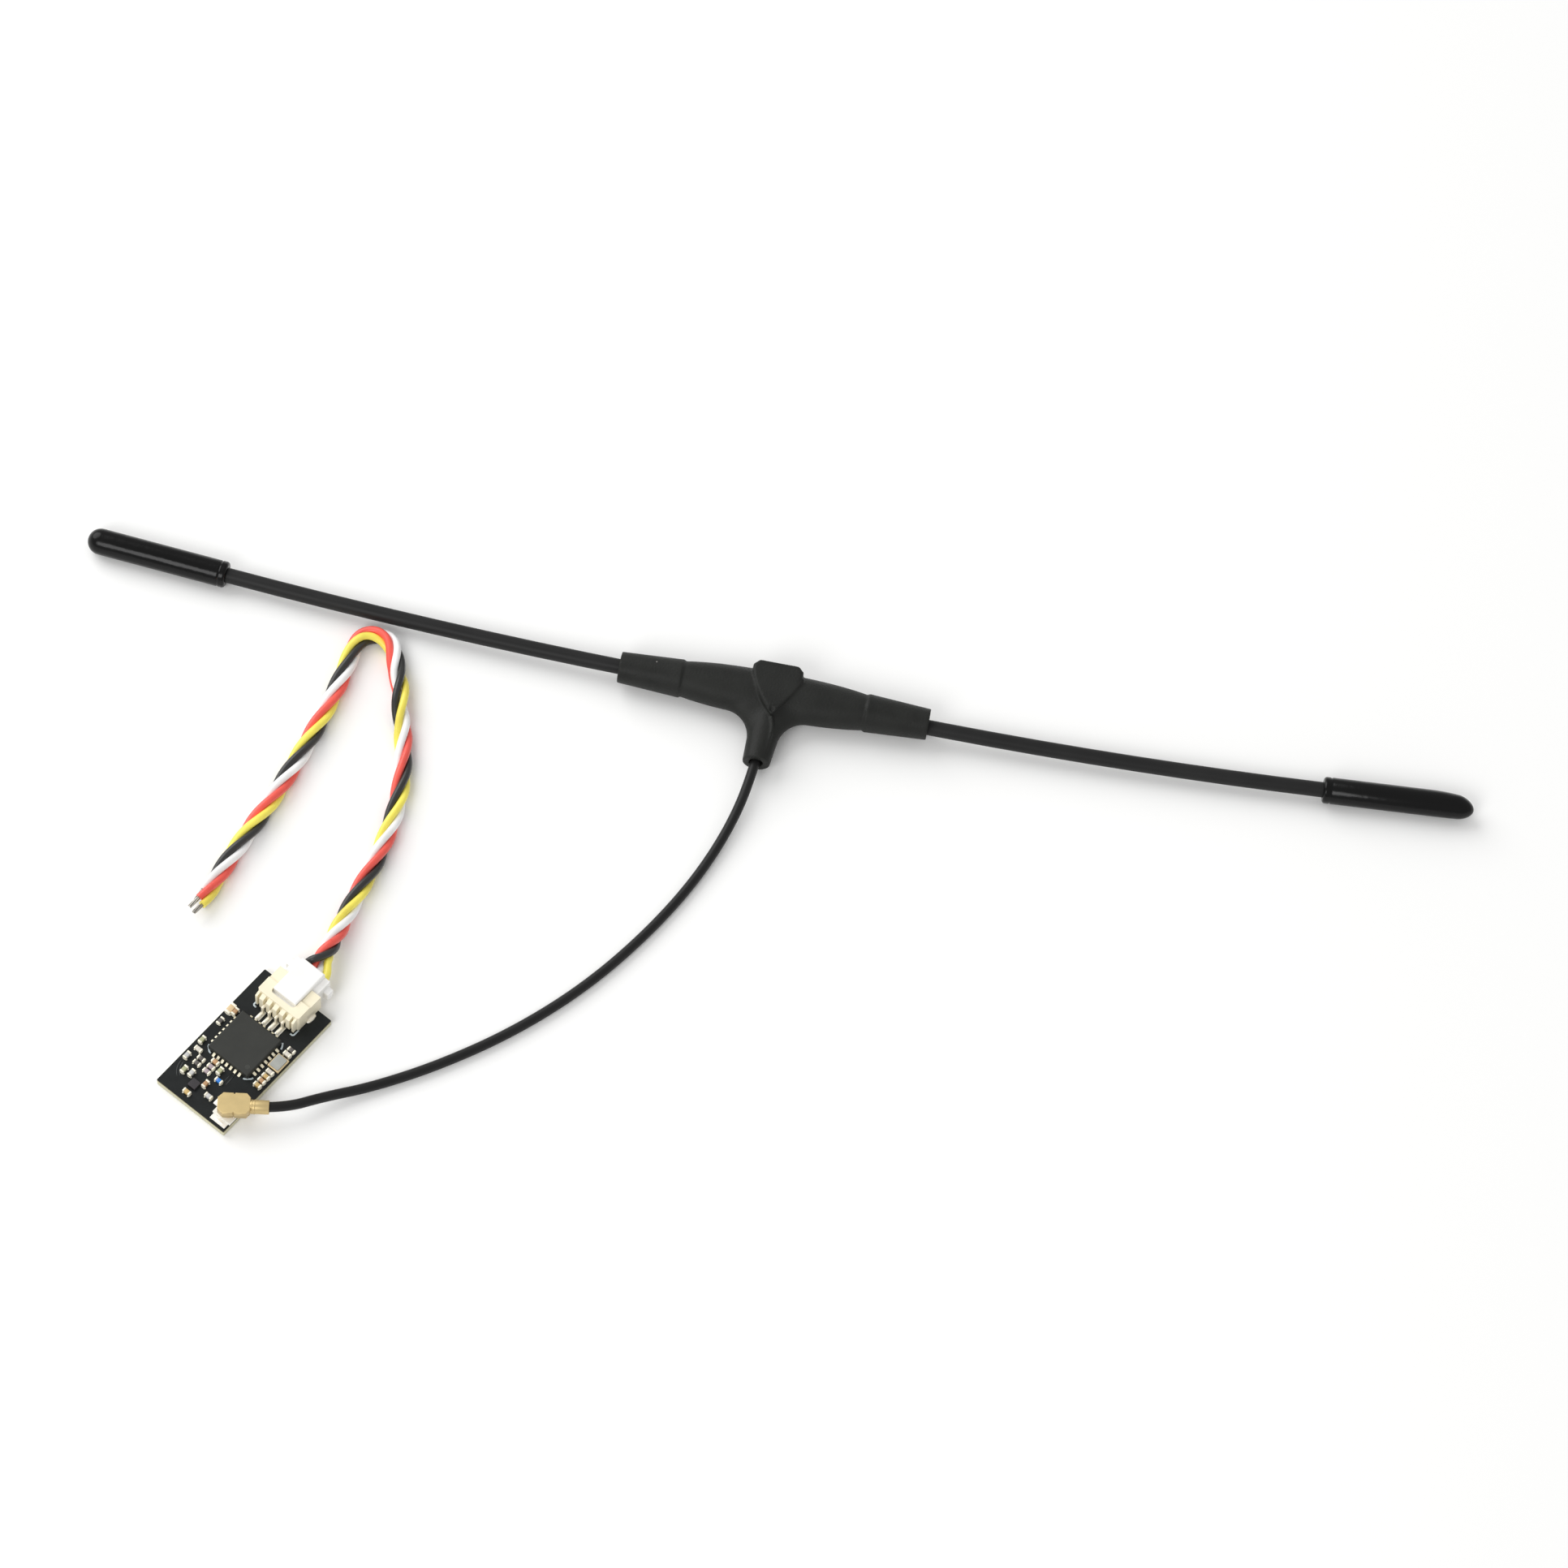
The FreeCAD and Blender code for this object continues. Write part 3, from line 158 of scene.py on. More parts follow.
# Materials
class Value:
    """A number in a material, on which Python's operators add Math nodes."""

    def __init__(self, finish, socket):
        self.finish = finish
        self.socket = socket

    def math(self, operation, *values):
        node = self.finish.node("ShaderNodeMath", {"operation": operation}, dict(enumerate(values)))
        return Value(self.finish, node.outputs[0])

    def __add__(self, other):
        return self.math("ADD", self, other)

    def __radd__(self, other):
        return self.math("ADD", other, self)

    def __sub__(self, other):
        return self.math("SUBTRACT", self, other)

    def __rsub__(self, other):
        return self.math("SUBTRACT", other, self)

    def __mul__(self, other):
        return self.math("MULTIPLY", self, other)

    def __rmul__(self, other):
        return self.math("MULTIPLY", other, self)

    def __gt__(self, other):
        return self.math("GREATER_THAN", self, other)

    def __lt__(self, other):
        return self.math("LESS_THAN", self, other)

    def between(self, low=0.35, high=0.65):
        """From 0 at low to 1 at high: as set here, over the middle of a noise."""
        values = {"Value": self, "From Min": low, "From Max": high}
        return Value(self.finish, self.finish.node("ShaderNodeMapRange", {"clamp": True}, values).outputs[0])


class Finish:
    """One surface finish: a material whose patterns follow the object's own coordinates."""

    def __init__(self, name, **constants):
        self.material = bpy.data.materials.new(name)
        self.material.use_nodes = True
        self.tree = self.material.node_tree
        self.shader = self.tree.nodes["Principled BSDF"]
        for socket, value in constants.items():
            self.shader.inputs[socket.replace("_", " ")].default_value = value
        self.place = self.node("ShaderNodeTexCoord").outputs["Object"]

    def node(self, kind, settings=None, values=None):
        """Adds a node: its settings first, then the values or links of its sockets."""
        node = self.tree.nodes.new(kind)
        for name, value in (settings or {}).items():
            setattr(node, name, value)
        for name, value in (values or {}).items():
            self.feed(node.inputs[name], value)
        return node

    def feed(self, socket, value):
        if isinstance(value, Value):
            self.tree.links.new(value.socket, socket)
        elif isinstance(value, bpy.types.NodeSocket):
            self.tree.links.new(value, socket)
        elif isinstance(value, tuple) and socket.type == "RGBA":
            socket.default_value = (*value, 1.0)
        else:
            socket.default_value = value

    def on_board(self):
        """Turns the patterns with the board, with its middle and top face as their origin."""
        settings = {"vector_type": "TEXTURE"}
        values = {"Vector": self.place, "Location": BOARD.translation, "Rotation": BOARD.to_euler()}
        self.place = self.node("ShaderNodeMapping", settings, values).outputs[0]

    def height(self):
        parts = self.node("ShaderNodeSeparateXYZ", None, {"Vector": self.place})
        return Value(self, parts.outputs["Z"])

    def distance(self, point):
        values = {0: self.place, 1: point}
        node = self.node("ShaderNodeVectorMath", {"operation": "DISTANCE"}, values)
        return Value(self, node.outputs["Value"])

    def noise(self, width, detail=3.0):
        """Soft noise, with patches of the given width in metres."""
        values = {"Vector": self.place, "Scale": 1 / width, "Detail": detail}
        return Value(self, self.node("ShaderNodeTexNoise", None, values).outputs[0])

    def specks(self, spacing, radius, share):
        """A few round specks: a share of the cells of the given spacing holds one."""
        values = {"Vector": self.place, "Scale": 1 / spacing}
        cells = self.node("ShaderNodeTexVoronoi", None, values)
        chosen = self.node("ShaderNodeSeparateColor", None, {"Color": cells.outputs["Color"]})
        near = Value(self, cells.outputs["Distance"]) < radius / spacing
        return near * (Value(self, chosen.outputs[0]) > 1 - share)

    def mix(self, factor, first, second):
        """Two colours mixed: a Mix node numbers its colour sockets 6, 7 and 2."""
        values = {0: factor, 6: first, 7: second}
        return self.node("ShaderNodeMix", {"data_type": "RGBA"}, values).outputs[2]

    def paint(self, colour, roughness, height=None, depth=0.0):
        self.feed(self.shader.inputs["Base Color"], colour)
        self.feed(self.shader.inputs["Roughness"], roughness)
        if height is not None:
            bump = self.node("ShaderNodeBump", None, {"Height": height, "Distance": depth})
            self.feed(self.shader.inputs["Normal"], bump.outputs[0])
        return self.material


# Both finishes take a colour, a roughness, and the grain and depth of their skin in millimetres. Dust is
# the share of the places that hold a speck, and bare is how much of a metal shines as metal.
PLASTIC_PATCH = 20         # a patch of one tone is this many grains wide
METAL_PATCH = 6
SKIN_DETAIL = 4.0
DUST_SPACING = 1.6 * MM
DUST_RADIUS = 0.09 * MM
DUST = srgb(150, 148, 142)


def moulded(name, colour, roughness, grain, depth, dust=0.0, vary=0.11, **constants):
    """Plastic or rubber: slight changes of tone and gloss, a fine skin, and a few specks of dust."""
    finish = Finish(name, **constants)
    grain = grain * MM
    patches = finish.noise(PLASTIC_PATCH * grain)
    skin = finish.noise(grain, SKIN_DETAIL)
    base = finish.mix(patches.between(), toned(colour, 1 - vary), toned(colour, 1 + vary))
    if dust:
        base = finish.mix(finish.specks(DUST_SPACING, DUST_RADIUS, dust), base, DUST)
    return finish.paint(base, roughness + (patches - 0.5) * (2 * vary), skin + patches * 2.0, depth * MM)


def metal(name, colour, roughness, grain, depth, bare=1.0, vary=0.12):
    """Metal: uneven gloss, with the dull patches of solder or the marks of a press."""
    finish = Finish(name, Metallic=bare)
    grain = grain * MM
    patches = finish.noise(METAL_PATCH * grain)
    skin = finish.noise(grain, SKIN_DETAIL)
    dull, bright = toned(colour, 1 - 1.5 * vary), toned(colour, 1 + 0.5 * vary)
    base = finish.mix(patches.between(high=0.7), dull, bright)
    return finish.paint(base, roughness + (skin - 0.5) * (2 * vary), skin, depth * MM)


# Meshes
def merged(node):
    shape = bmesh.new()
    shape.from_mesh(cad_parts[node].data)
    bmesh.ops.remove_doubles(shape, verts=shape.verts, dist=MERGE)
    return shape


def drop_normals(shape):
    """Leaves out the stored normals, which don't fit a changed shape."""
    for attribute in list(shape.loops.layers.float_vector.values()):
        shape.loops.layers.float_vector.remove(attribute)


def ease(shape, edges, width):
    bmesh.ops.bevel(shape, geom=edges, offset=width, offset_type="OFFSET", segments=2, profile=0.5,
                    affect="EDGES", material=-1, clamp_overlap=True)


def mesh_from(name, shape):
    mesh = bpy.data.meshes.new(name)
    shape.to_mesh(mesh)
    shape.free()
    return mesh


def placed(name, data):
    item = bpy.data.objects.new(name, data)
    bpy.context.scene.collection.objects.link(item)
    return item


def add_mesh(name, shape, slot, materials, nodes=()):
    for face in shape.faces:
        face.smooth = True
    mesh = mesh_from(name, shape)
    for material in materials:
        mesh.materials.append(material)
    return add_piece(name, mesh, slot, nodes)


def add_piece(name, data, slot, nodes=()):
    piece = placed(name, data)
    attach(piece, BODY)
    if nodes:
        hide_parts(*nodes)
    return piece


def level_normals(piece):
    """Large faces stay flat beside their eased edges."""
    modifier = piece.modifiers.new("level", "WEIGHTED_NORMAL")
    modifier.weight = 60
    return piece


def softened(name, node, slot, material, edge=FINE_EDGE):
    """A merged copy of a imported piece, with its sharp edges eased."""
    shape = merged(node)
    drop_normals(shape)
    bmesh.ops.dissolve_limit(shape, angle_limit=SAME_PLANE, verts=shape.verts, edges=shape.edges)
    sharp = [side for side in shape.edges if side.is_manifold and side.calc_face_angle(0) > SHARP]
    ease(shape, sharp, edge)
    return level_normals(add_mesh(name, shape, slot, [material], [node]))


def dress(material, *nodes):
    for node in nodes:
        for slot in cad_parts[node].material_slots:
            slot.material = material


def block(shape, low, high, edge, material=0):
    """A box between two corners, with eased edges."""
    low, high = Vector(low), Vector(high)
    place = Matrix.Translation((low + high) / 2) @ Matrix.Diagonal((*(high - low), 1))
    made = bmesh.ops.create_cube(shape, size=1, matrix=place)
    for face in {face for vert in made["verts"] for face in vert.link_faces}:
        face.material_index = material
    ease(shape, list({side for vert in made["verts"] for side in vert.link_edges}), edge)


def mound(shape, middle, extent):
    """A smooth lump of solder, cut off level where it meets the board."""
    place = Matrix.Translation(middle) @ Matrix.Diagonal((*extent, 1))
    verts = bmesh.ops.create_uvsphere(shape, u_segments=16, v_segments=10, radius=0.5, matrix=place)["verts"]
    faces = {face for vert in verts for face in vert.link_faces}
    edges = {edge for vert in verts for edge in vert.link_edges}
    cut = bmesh.ops.bisect_plane(shape, geom=list(verts) + list(edges) + list(faces),
                                 plane_co=(0, 0, 0), plane_no=UP, clear_inner=True)
    rim = [part for part in cut["geom_cut"] if isinstance(part, bmesh.types.BMEdge)]
    bmesh.ops.edgeloop_fill(shape, edges=rim)


def footprint(low, high):
    """The middle of a part's place on the board."""
    return (low.x + high.x) / 2, (low.y + high.y) / 2, 0


def soldered_foot(shape, low, high, edge, shares):
    """A metal end with a lump of solder as large as these shares of the end's own sides."""
    block(shape, low, high, edge)
    mound(shape, footprint(low, high), [side * share for side, share in zip(high - low, shares)])


def islands(node):
    """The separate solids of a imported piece: each one's lowest and highest corner along the board."""
    shape = merged(node)
    shape.transform(BOARD.inverted())
    left = set(shape.verts)
    found = []
    for seed in shape.verts:
        if seed not in left:
            continue
        left.discard(seed)
        reached = [seed]
        for vert in reached:
            for edge in vert.link_edges:
                other = edge.other_vert(vert)
                if other in left:
                    left.discard(other)
                    reached.append(other)
        low = Vector([min(vert.co[axis] for vert in reached) for axis in range(3)])
        high = Vector([max(vert.co[axis] for vert in reached) for axis in range(3)])
        found.append((low, high))
    shape.free()
    return found


def board_piece(name, shape, slot, materials, nodes=()):
    shape.transform(BOARD)
    return level_normals(add_mesh(name, shape, slot, materials, nodes))


def board_point(u, v, z):
    return BOARD @ Vector((u * MM, v * MM, z * MM))


def board_place():
    low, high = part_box("circuit_board")
    middle = (low + high) / 2
    turn = bpy.context.scene.receiver_board.turn
    return Matrix.Translation((middle.x, middle.y, high.z)) @ Matrix.Rotation(turn, 4, "Z")


def ribbon(shape, points, width, height):
    """A flat raised line on the board's face, through points in millimetres."""
    points = [Vector((u * MM, v * MM, 0)) for u, v in points]
    edge = None
    strip = []
    for number, point in enumerate(points):
        before = points[max(0, number - 1)]
        after = points[min(len(points) - 1, number + 1)]
        aside = (after - before).cross(UP).normalized() * width / 2
        if edge is None:
            edge = shape.edges.new([shape.verts.new(point - aside), shape.verts.new(point + aside)])
            continue
        made = bmesh.ops.extrude_edge_only(shape, edges=[edge])["geom"]
        edge = [part for part in made if isinstance(part, bmesh.types.BMEdge)][0]
        strip += [part for part in made if isinstance(part, bmesh.types.BMFace)]
        left, right = edge.verts
        if (right.co - left.co).dot(aside) < 0:
            left, right = right, left
        left.co = point - aside
        right.co = point + aside
    bmesh.ops.recalc_face_normals(shape, faces=strip)
    raise_faces(shape, strip, height)


def raise_faces(shape, faces, height):
    """Gives flat faces a thickness, and returns the corners of their tops."""
    made = bmesh.ops.extrude_face_region(shape, geom=faces)["geom"]
    raised = [part for part in made if isinstance(part, bmesh.types.BMVert)]
    bmesh.ops.translate(shape, verts=raised, vec=UP * height)
    return raised


# Cords
def new_line(name):
    line = bpy.data.curves.new(name, "CURVE")
    line.dimensions = "3D"
    return line


def add_spline(line, kind, points):
    spline = line.splines.new(kind)
    spline.points.add(len(points) - 1)
    for target, point in zip(spline.points, points):
        target.co = (*point, 1.0)
    return spline


def nurbs_line(name, points):
    """A smooth line with the route's points as its control points."""
    line = new_line(name)
    line.resolution_u = 16
    spline = add_spline(line, "NURBS", points)
    spline.order_u = 3
    spline.use_endpoint_u = True
    return line


def mesh_of(name, line):
    return bpy.data.meshes.new_from_object(bpy.data.objects.new(name, line))


def metres(route):
    return [Vector(point) * MM for point in route]


def round_line(line, diameter, material=None):
    line.bevel_depth = diameter / 2
    line.bevel_resolution = 4
    line.use_fill_caps = True
    if material:
        line.materials.append(material)
    return line


def smooth_step(value, start, end):
    share = min(1.0, max(0.0, (value - start) / (end - start)))
    return share * share * (3 - 2 * share)


class RECEIVER_OT_stage(bpy.types.Operator):
    """Lays the pale table, lights it softly and stands the camera over it"""
    bl_idname = "receiver.stage"
    bl_label = "Stage"

    TARGET = Vector((3.2, -10.16, 0)) * MM
    KEY_PLACE = Vector((-0.66, 0.38, 0.6))
    KEY_WIDTH = 0.95
    FRONT_PLACE = Vector((-0.3, -0.64, 0.6))
    FRONT_WIDTH = 0.46
    CLOUD_WIDTH = 120 * MM
    CLOUD_TONE = 0.99

    def execute(self, context):
        stage = context.scene.receiver_stage
        shape = bmesh.new()
        bmesh.ops.create_grid(shape, x_segments=2, y_segments=2, size=stage.floor_width / 2)
        mesh = mesh_from("table", shape)
        finish = Finish("table_top", Specular_IOR_Level=0.2)
        white = tuple(stage.floor_colour)
        white = finish.mix(finish.noise(self.CLOUD_WIDTH), white, toned(white, self.CLOUD_TONE))
        mesh.materials.append(finish.paint(white, 0.7))
        floor = placed("table", mesh)
        self.light("key", self.KEY_PLACE, self.KEY_WIDTH, stage.key)
        self.light("front", self.FRONT_PLACE, self.FRONT_WIDTH, stage.front)
        self.sky(context, stage.sky)
        self.camera(context, stage)
        context.scene.view_settings.view_transform = "Standard"
        return {"FINISHED"}

    def light(self, name, place, width, level):
        """A round lamp that gives the table this share of a plain white."""
        lamp = bpy.data.lights.new(name, "AREA")
        lamp.shape = "DISK"
        lamp.size = width
        lamp.energy = level * math.pi ** 2 * place.length_squared / (place.z / place.length)
        turn = place.to_track_quat("Z", "Y").to_matrix().to_4x4()
        placed(name, lamp).matrix_world = Matrix.Translation(place) @ turn

    def sky(self, context, level):
        world = bpy.data.worlds.new("soft_light")
        world.use_nodes = True
        inputs = world.node_tree.nodes["Background"].inputs
        inputs["Color"].default_value = (1, 1, 1, 1)
        inputs["Strength"].default_value = level
        context.scene.world = world

    def camera(self, context, stage):
        back = Vector((math.sin(stage.azimuth) * math.cos(stage.elevation),
                       -math.cos(stage.azimuth) * math.cos(stage.elevation), math.sin(stage.elevation)))
        across = UP.cross(back).normalized()
        turned = Matrix((across, back.cross(across), back)).transposed().to_4x4()
        data = bpy.data.cameras.new("camera")
        data.lens = stage.lens
        data.sensor_width = 36
        data.clip_start = 0.01
        camera = placed("camera", data)
        camera.matrix_world = (Matrix.Translation(self.TARGET + back * stage.distance) @ turned
                               @ Matrix.Rotation(stage.roll, 4, "Z"))
        context.scene.camera = camera


class RECEIVER_OT_tee(bpy.types.Operator):
    """Moulds the rubber tee as one soft form"""
    bl_idname = "receiver.tee"
    bl_label = "Tee moulding"

    # Raised lines on the top: the pad's rim on one side, and a fold down the stem
    RIM = [(3.1, 1.75, 4.7), (2.75, 0.75, 4.8), (2.1, -0.55, 4.8), (1.25, -1.95, 4.8), (0.35, -3.2, 4.76),
           (0.1, -3.6, 4.5)]
    FOLD = [(0.25, -3.75, 4.2), (0.6, -4.6, 4.02), (0.62, -6.0, 3.78), (0.45, -7.4, 3.62), (0.3, -8.8, 3.5)]
    LINE_WIDTH = 0.42
    # The dimple that the mould's gate leaves at the pad's tip
    GATE = Vector((0.12, -3.15, 5.0)) * MM
    GATE_RADIUS = 0.5 * MM
    GATE_DEPTH = 0.34 * MM

    def execute(self, context):
        look = context.scene.receiver_antenna
        shape = merged("tee_moulding")
        for name, points in (("tee_rim", self.RIM), ("tee_fold", self.FOLD)):
            line = round_line(nurbs_line(name, metres(points)), self.LINE_WIDTH * MM)
            shape.from_mesh(mesh_of(name, line))
        draft = placed("tee_draft", mesh_from("tee_draft", shape))
        grid = draft.modifiers.new("grid", "REMESH")
        grid.mode = "VOXEL"
        grid.voxel_size = look.tee_grid
        soft = bpy.data.meshes.new_from_object(draft.evaluated_get(context.evaluated_depsgraph_get()))
        bpy.data.objects.remove(draft)
        shape = bmesh.new()
        shape.from_mesh(soft)
        for _ in range(look.tee_passes):
            bmesh.ops.smooth_vert(shape, verts=shape.verts, factor=0.5, use_axis_x=True, use_axis_y=True,
                                  use_axis_z=True)
        for vert in shape.verts:
            share = (vert.co - self.GATE).length / self.GATE_RADIUS
            if share < 1:
                vert.co.z -= self.GATE_DEPTH * (1 - share ** 2) ** 2
        rubber = moulded("tee_rubber", look.tee_colour, 0.5, 0.22, 0.05, dust=0.1, vary=0.17,
                         Specular_IOR_Level=0.2)
        add_mesh("tee_rubber_moulding", shape, "tee_rubber", [rubber], ["tee_moulding"])
        return {"FINISHED"}


class RECEIVER_OT_elements(bpy.types.Operator):
    """Finishes the antenna elements: their sleeves and the wires inside them"""
    bl_idname = "receiver.elements"
    bl_label = "Antenna elements"

    def execute(self, context):
        look = context.scene.receiver_antenna
        plastic = moulded("sleeve_plastic", look.sleeve_colour, 0.46, 0.3, 0.004, dust=0.05,
                          Specular_IOR_Level=0.2)
        wire = metal("radiator_steel", srgb(150, 150, 150), 0.35, 0.2, 0.002)
        dress(plastic, "left_element_sleeve", "right_element_sleeve")
        dress(wire, "left_radiator", "right_radiator")
        return {"FINISHED"}


class RECEIVER_OT_end_caps(bpy.types.Operator):
    """Finishes the glossy vinyl caps on the ends of the elements"""
    bl_idname = "receiver.end_caps"
    bl_label = "End caps"

    # The right cap's nose, in millimetres: its length, where it is cut for bending, and its change of form
    NOSE = 4.6
    CUTS = (4.6, 4.0, 3.4, 2.8, 2.2)
    SLIMMER = 0.2
    DROOP = 0.2
    LONGER = 0.7

    def execute(self, context):
        vinyl = moulded("cap_vinyl", context.scene.receiver_antenna.cap_colour, 0.2, 0.9, 0.03, dust=0.06,
                        Specular_IOR_Level=0.22)
        dress(vinyl, "left_end_cap")
        self.drawn_out(vinyl)
        return {"FINISHED"}

    def drawn_out(self, vinyl):
        """The right cap ends in a longer, slightly drooping nose."""
        shape = merged("right_end_cap")
        low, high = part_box("right_end_cap")
        for reach in self.CUTS:
            geom = list(shape.verts) + list(shape.edges) + list(shape.faces)
            bmesh.ops.bisect_plane(shape, geom=geom, plane_co=(high.x - reach * MM, 0, 0),
                                   plane_no=(1, 0, 0), dist=0.001 * MM)
        nose = [vert for vert in shape.verts if vert.co.x > high.x - self.NOSE * MM]
        tip = max(nose, key=lambda vert: vert.co.x).co.copy()
        for vert in nose:
            share = 1 - (high.x - vert.co.x) / (self.NOSE * MM)
            slim = 1 - self.SLIMMER * share ** 2
            vert.co.y = tip.y + (vert.co.y - tip.y) * slim - self.DROOP * MM * share ** 2
            vert.co.z = tip.z + (vert.co.z - tip.z) * slim
            vert.co.x += self.LONGER * MM * share ** 2
        drop_normals(shape)
        add_mesh("right_cap_vinyl", shape, "cap_vinyl", [vinyl], ["right_end_cap"])


class RECEIVER_OT_feed(bpy.types.Operator):
    """Finishes what the tee hides: the cable's bared tails and their solder joints"""
    bl_idname = "receiver.feed"
    bl_label = "Antenna feed"

    def execute(self, context):
        copper = metal("tinned_tail", srgb(200, 196, 188), 0.35, 0.1, 0.002)
        solder = metal("feed_solder", context.scene.receiver_board.solder, 0.3, 0.2, 0.01, bare=0.5)
        dress(copper, "coax_core_tail", "coax_braid_tail")
        dress(solder, "feed_solder_joints")
        return {"FINISHED"}


class RECEIVER_OT_coax_cable(bpy.types.Operator):
    """Lays the thin coaxial cable from its plug to the tee"""
    bl_idname = "receiver.coax_cable"
    bl_label = "Coaxial cable"

    REACHES = (2.9, 6.3)       # from the socket's middle to the cable's first two points
    ON_CABLE = ("coax_plug_sheet", "coax_plug_insulator", "coax_plug_contact", "coax_core_tail",
                "coax_braid_tail")

    def execute(self, context):
        look = context.scene.receiver_antenna
        u, v = SOCKET_MIDDLE
        start = [board_point(u + reach * math.cos(PLUG_TURN), v + reach * math.sin(PLUG_TURN), BARREL_HEIGHT)
                 for reach in self.REACHES]
        points = start + metres(COAX_ROUTE)
        jacket = moulded("coax_jacket", look.coax_colour, 0.4, 0.2, 0.004, dust=0.04,
                         Specular_IOR_Level=0.25)
        line = round_line(nurbs_line("coaxial_cable", points), look.coax_diameter, jacket)
        cable = add_piece("coaxial_cable", line, "coax_jacket", ["coax_cable"])
        return {"FINISHED"}


class RECEIVER_OT_board(bpy.types.Operator):
    """Finishes the circuit board with its traces and printed marks"""
    bl_idname = "receiver.board"
    bl_label = "Circuit board"

    EDGE = 0.06 * MM
    MASK = 0.035 * MM          # thickness of the mask that hides the laminate
    OLIVE = srgb(120, 110, 72)
    OLIVE_DEPTH = 0.3 * MM     # how far down the edge is stained under the mask
    LINE_HEIGHT = 0.02 * MM
    MARK_WIDTH = 0.21 * MM
    TRACE_WIDTH = 0.14 * MM
    # The printed marks on the chip's corners, and the one that stands at each end of the header
    CORNER_MARKS = [[(-3.55, -2.05), (-3.45, -2.3), (-2.9, -2.75), (-2.65, -2.8)],
                    [(2.3, -2.8), (2.5, -2.72), (3.05, -2.25), (3.15, -2.0)],
                    [(3.15, 2.8), (3.05, 3.1), (2.75, 3.55)]]
    HEADER_MARK = [(2.6, 5.0), (2.95, 5.02), (3.05, 5.12), (3.06, 6.0)]
    # Traces that show through the mask: straight ones beside the socket, and bends near the left edge
    STRAIGHT_TRACES = [[(u, -2.95), (u, -4.75)] for u in (0.9, 1.32)]
    BEND_MIDDLE = (-2.3, -5.6)
    BEND_RADII = (1.6, 1.95, 2.3)
    BEND_TURNS = [math.radians(180 + 55 * step / 8) for step in range(9)]

    def execute(self, context):
        board = context.scene.receiver_board
        softened("board_laminate_and_mask", "circuit_board", "board_laminate", self.laminate(board),
                 edge=self.EDGE)
        ink = moulded("printed_ink", board.silk, 0.6, 0.1, 0.003)
        header_marks = [[(side * u, v) for u, v in self.HEADER_MARK] for side in (-1, 1)]
        self.lines("printed_marks", self.CORNER_MARKS + header_marks, self.MARK_WIDTH, ink)
        copper = moulded("masked_copper", toned(board.mask, 1.5), 0.4, 0.1, 0.002)
        middle_u, middle_v = self.BEND_MIDDLE
        bends = [[(middle_u + radius * math.cos(turn), middle_v + radius * math.sin(turn))
                  for turn in self.BEND_TURNS] for radius in self.BEND_RADII]
        self.lines("masked_traces", self.STRAIGHT_TRACES + bends, self.TRACE_WIDTH, copper)
        return {"FINISHED"}

    def lines(self, name, routes, width, material):
        shape = bmesh.new()
        for points in routes:
            ribbon(shape, points, width, self.LINE_HEIGHT)
        board_piece(name, shape, "board_laminate", [material])

    def laminate(self, board):
        """Solder mask on the two faces, and the laminate's glass layers on the edge."""
        finish = Finish("solder_mask", Specular_IOR_Level=0.2)
        finish.on_board()
        low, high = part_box("circuit_board")
        height = finish.height()
        inside = (height < -self.MASK) * (height > -(high.z - low.z - self.MASK))
        cloth = finish.noise(0.14 * MM, 2.0)
        mottle = finish.noise(1.2 * MM, 4.0)
        mask = finish.mix(mottle.between(), toned(board.mask, 0.9), toned(board.mask, 1.15))
        glass = finish.mix(cloth.between(0.4, 0.6), toned(board.laminate, 0.9), tuple(board.laminate))
        glass = finish.mix(height.between(-self.OLIVE_DEPTH, 0.0), glass, self.OLIVE)
        return finish.paint(finish.mix(inside, mask, glass), 0.38 + inside * 0.35, mottle, 0.006 * MM)


class RECEIVER_OT_chip(bpy.types.Operator):
    """Finishes the transceiver chip and its solder joints"""
    bl_idname = "receiver.chip"
    bl_label = "Transceiver chip"

    DOT_RADIUS = 0.28 * MM
    DOT_RIM = 0.03 * MM

    def execute(self, context):
        colour = context.scene.receiver_board.epoxy
        finish = Finish("chip_epoxy", Specular_IOR_Level=0.25)
        finish.on_board()
        low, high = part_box("transceiver_chip")
        u, v = CHIP_DOT
        away = finish.distance((u * MM, v * MM, high.z - BOARD.translation.z))
        dot = away.between(self.DOT_RADIUS + self.DOT_RIM, self.DOT_RADIUS)
        cloud = finish.noise(1.4 * MM, 4.0)
        sand = finish.noise(0.07 * MM)
        base = finish.mix(cloud.between(0.3, 0.7), toned(colour, 0.93), toned(colour, 1.08))
        base = finish.mix(dot * 0.8, base, toned(colour, 1.5))
        epoxy = finish.paint(base, 0.55 - dot * 0.2, sand - dot * 2.0, 0.006 * MM)
        softened("chip_moulding", "transceiver_chip", "chip_epoxy", epoxy)
        solder = metal("joint_solder", srgb(252, 244, 216), 0.28, 0.12, 0.01, bare=0.12, vary=0.05)
        softened("chip_joints", "chip_solder_joints", "solder", solder)
        return {"FINISHED"}


class RECEIVER_OT_crystal(bpy.types.Operator):
    """Finishes the crystal: its gold-edged base and grey lid"""
    bl_idname = "receiver.crystal"
    bl_label = "Crystal"

    def execute(self, context):
        base = metal("crystal_edge_gold", srgb(238, 214, 168), 0.35, 0.15, 0.004, bare=0.5)
        lid = metal("crystal_lid_nickel", srgb(170, 172, 166), 0.5, 0.3, 0.003, bare=0.3)
        softened("crystal_package", "crystal_base", "plated_gold", base)
        softened("crystal_cover", "crystal_lid", "crystal_lid_metal", lid, edge=0.04 * MM)
        return {"FINISHED"}


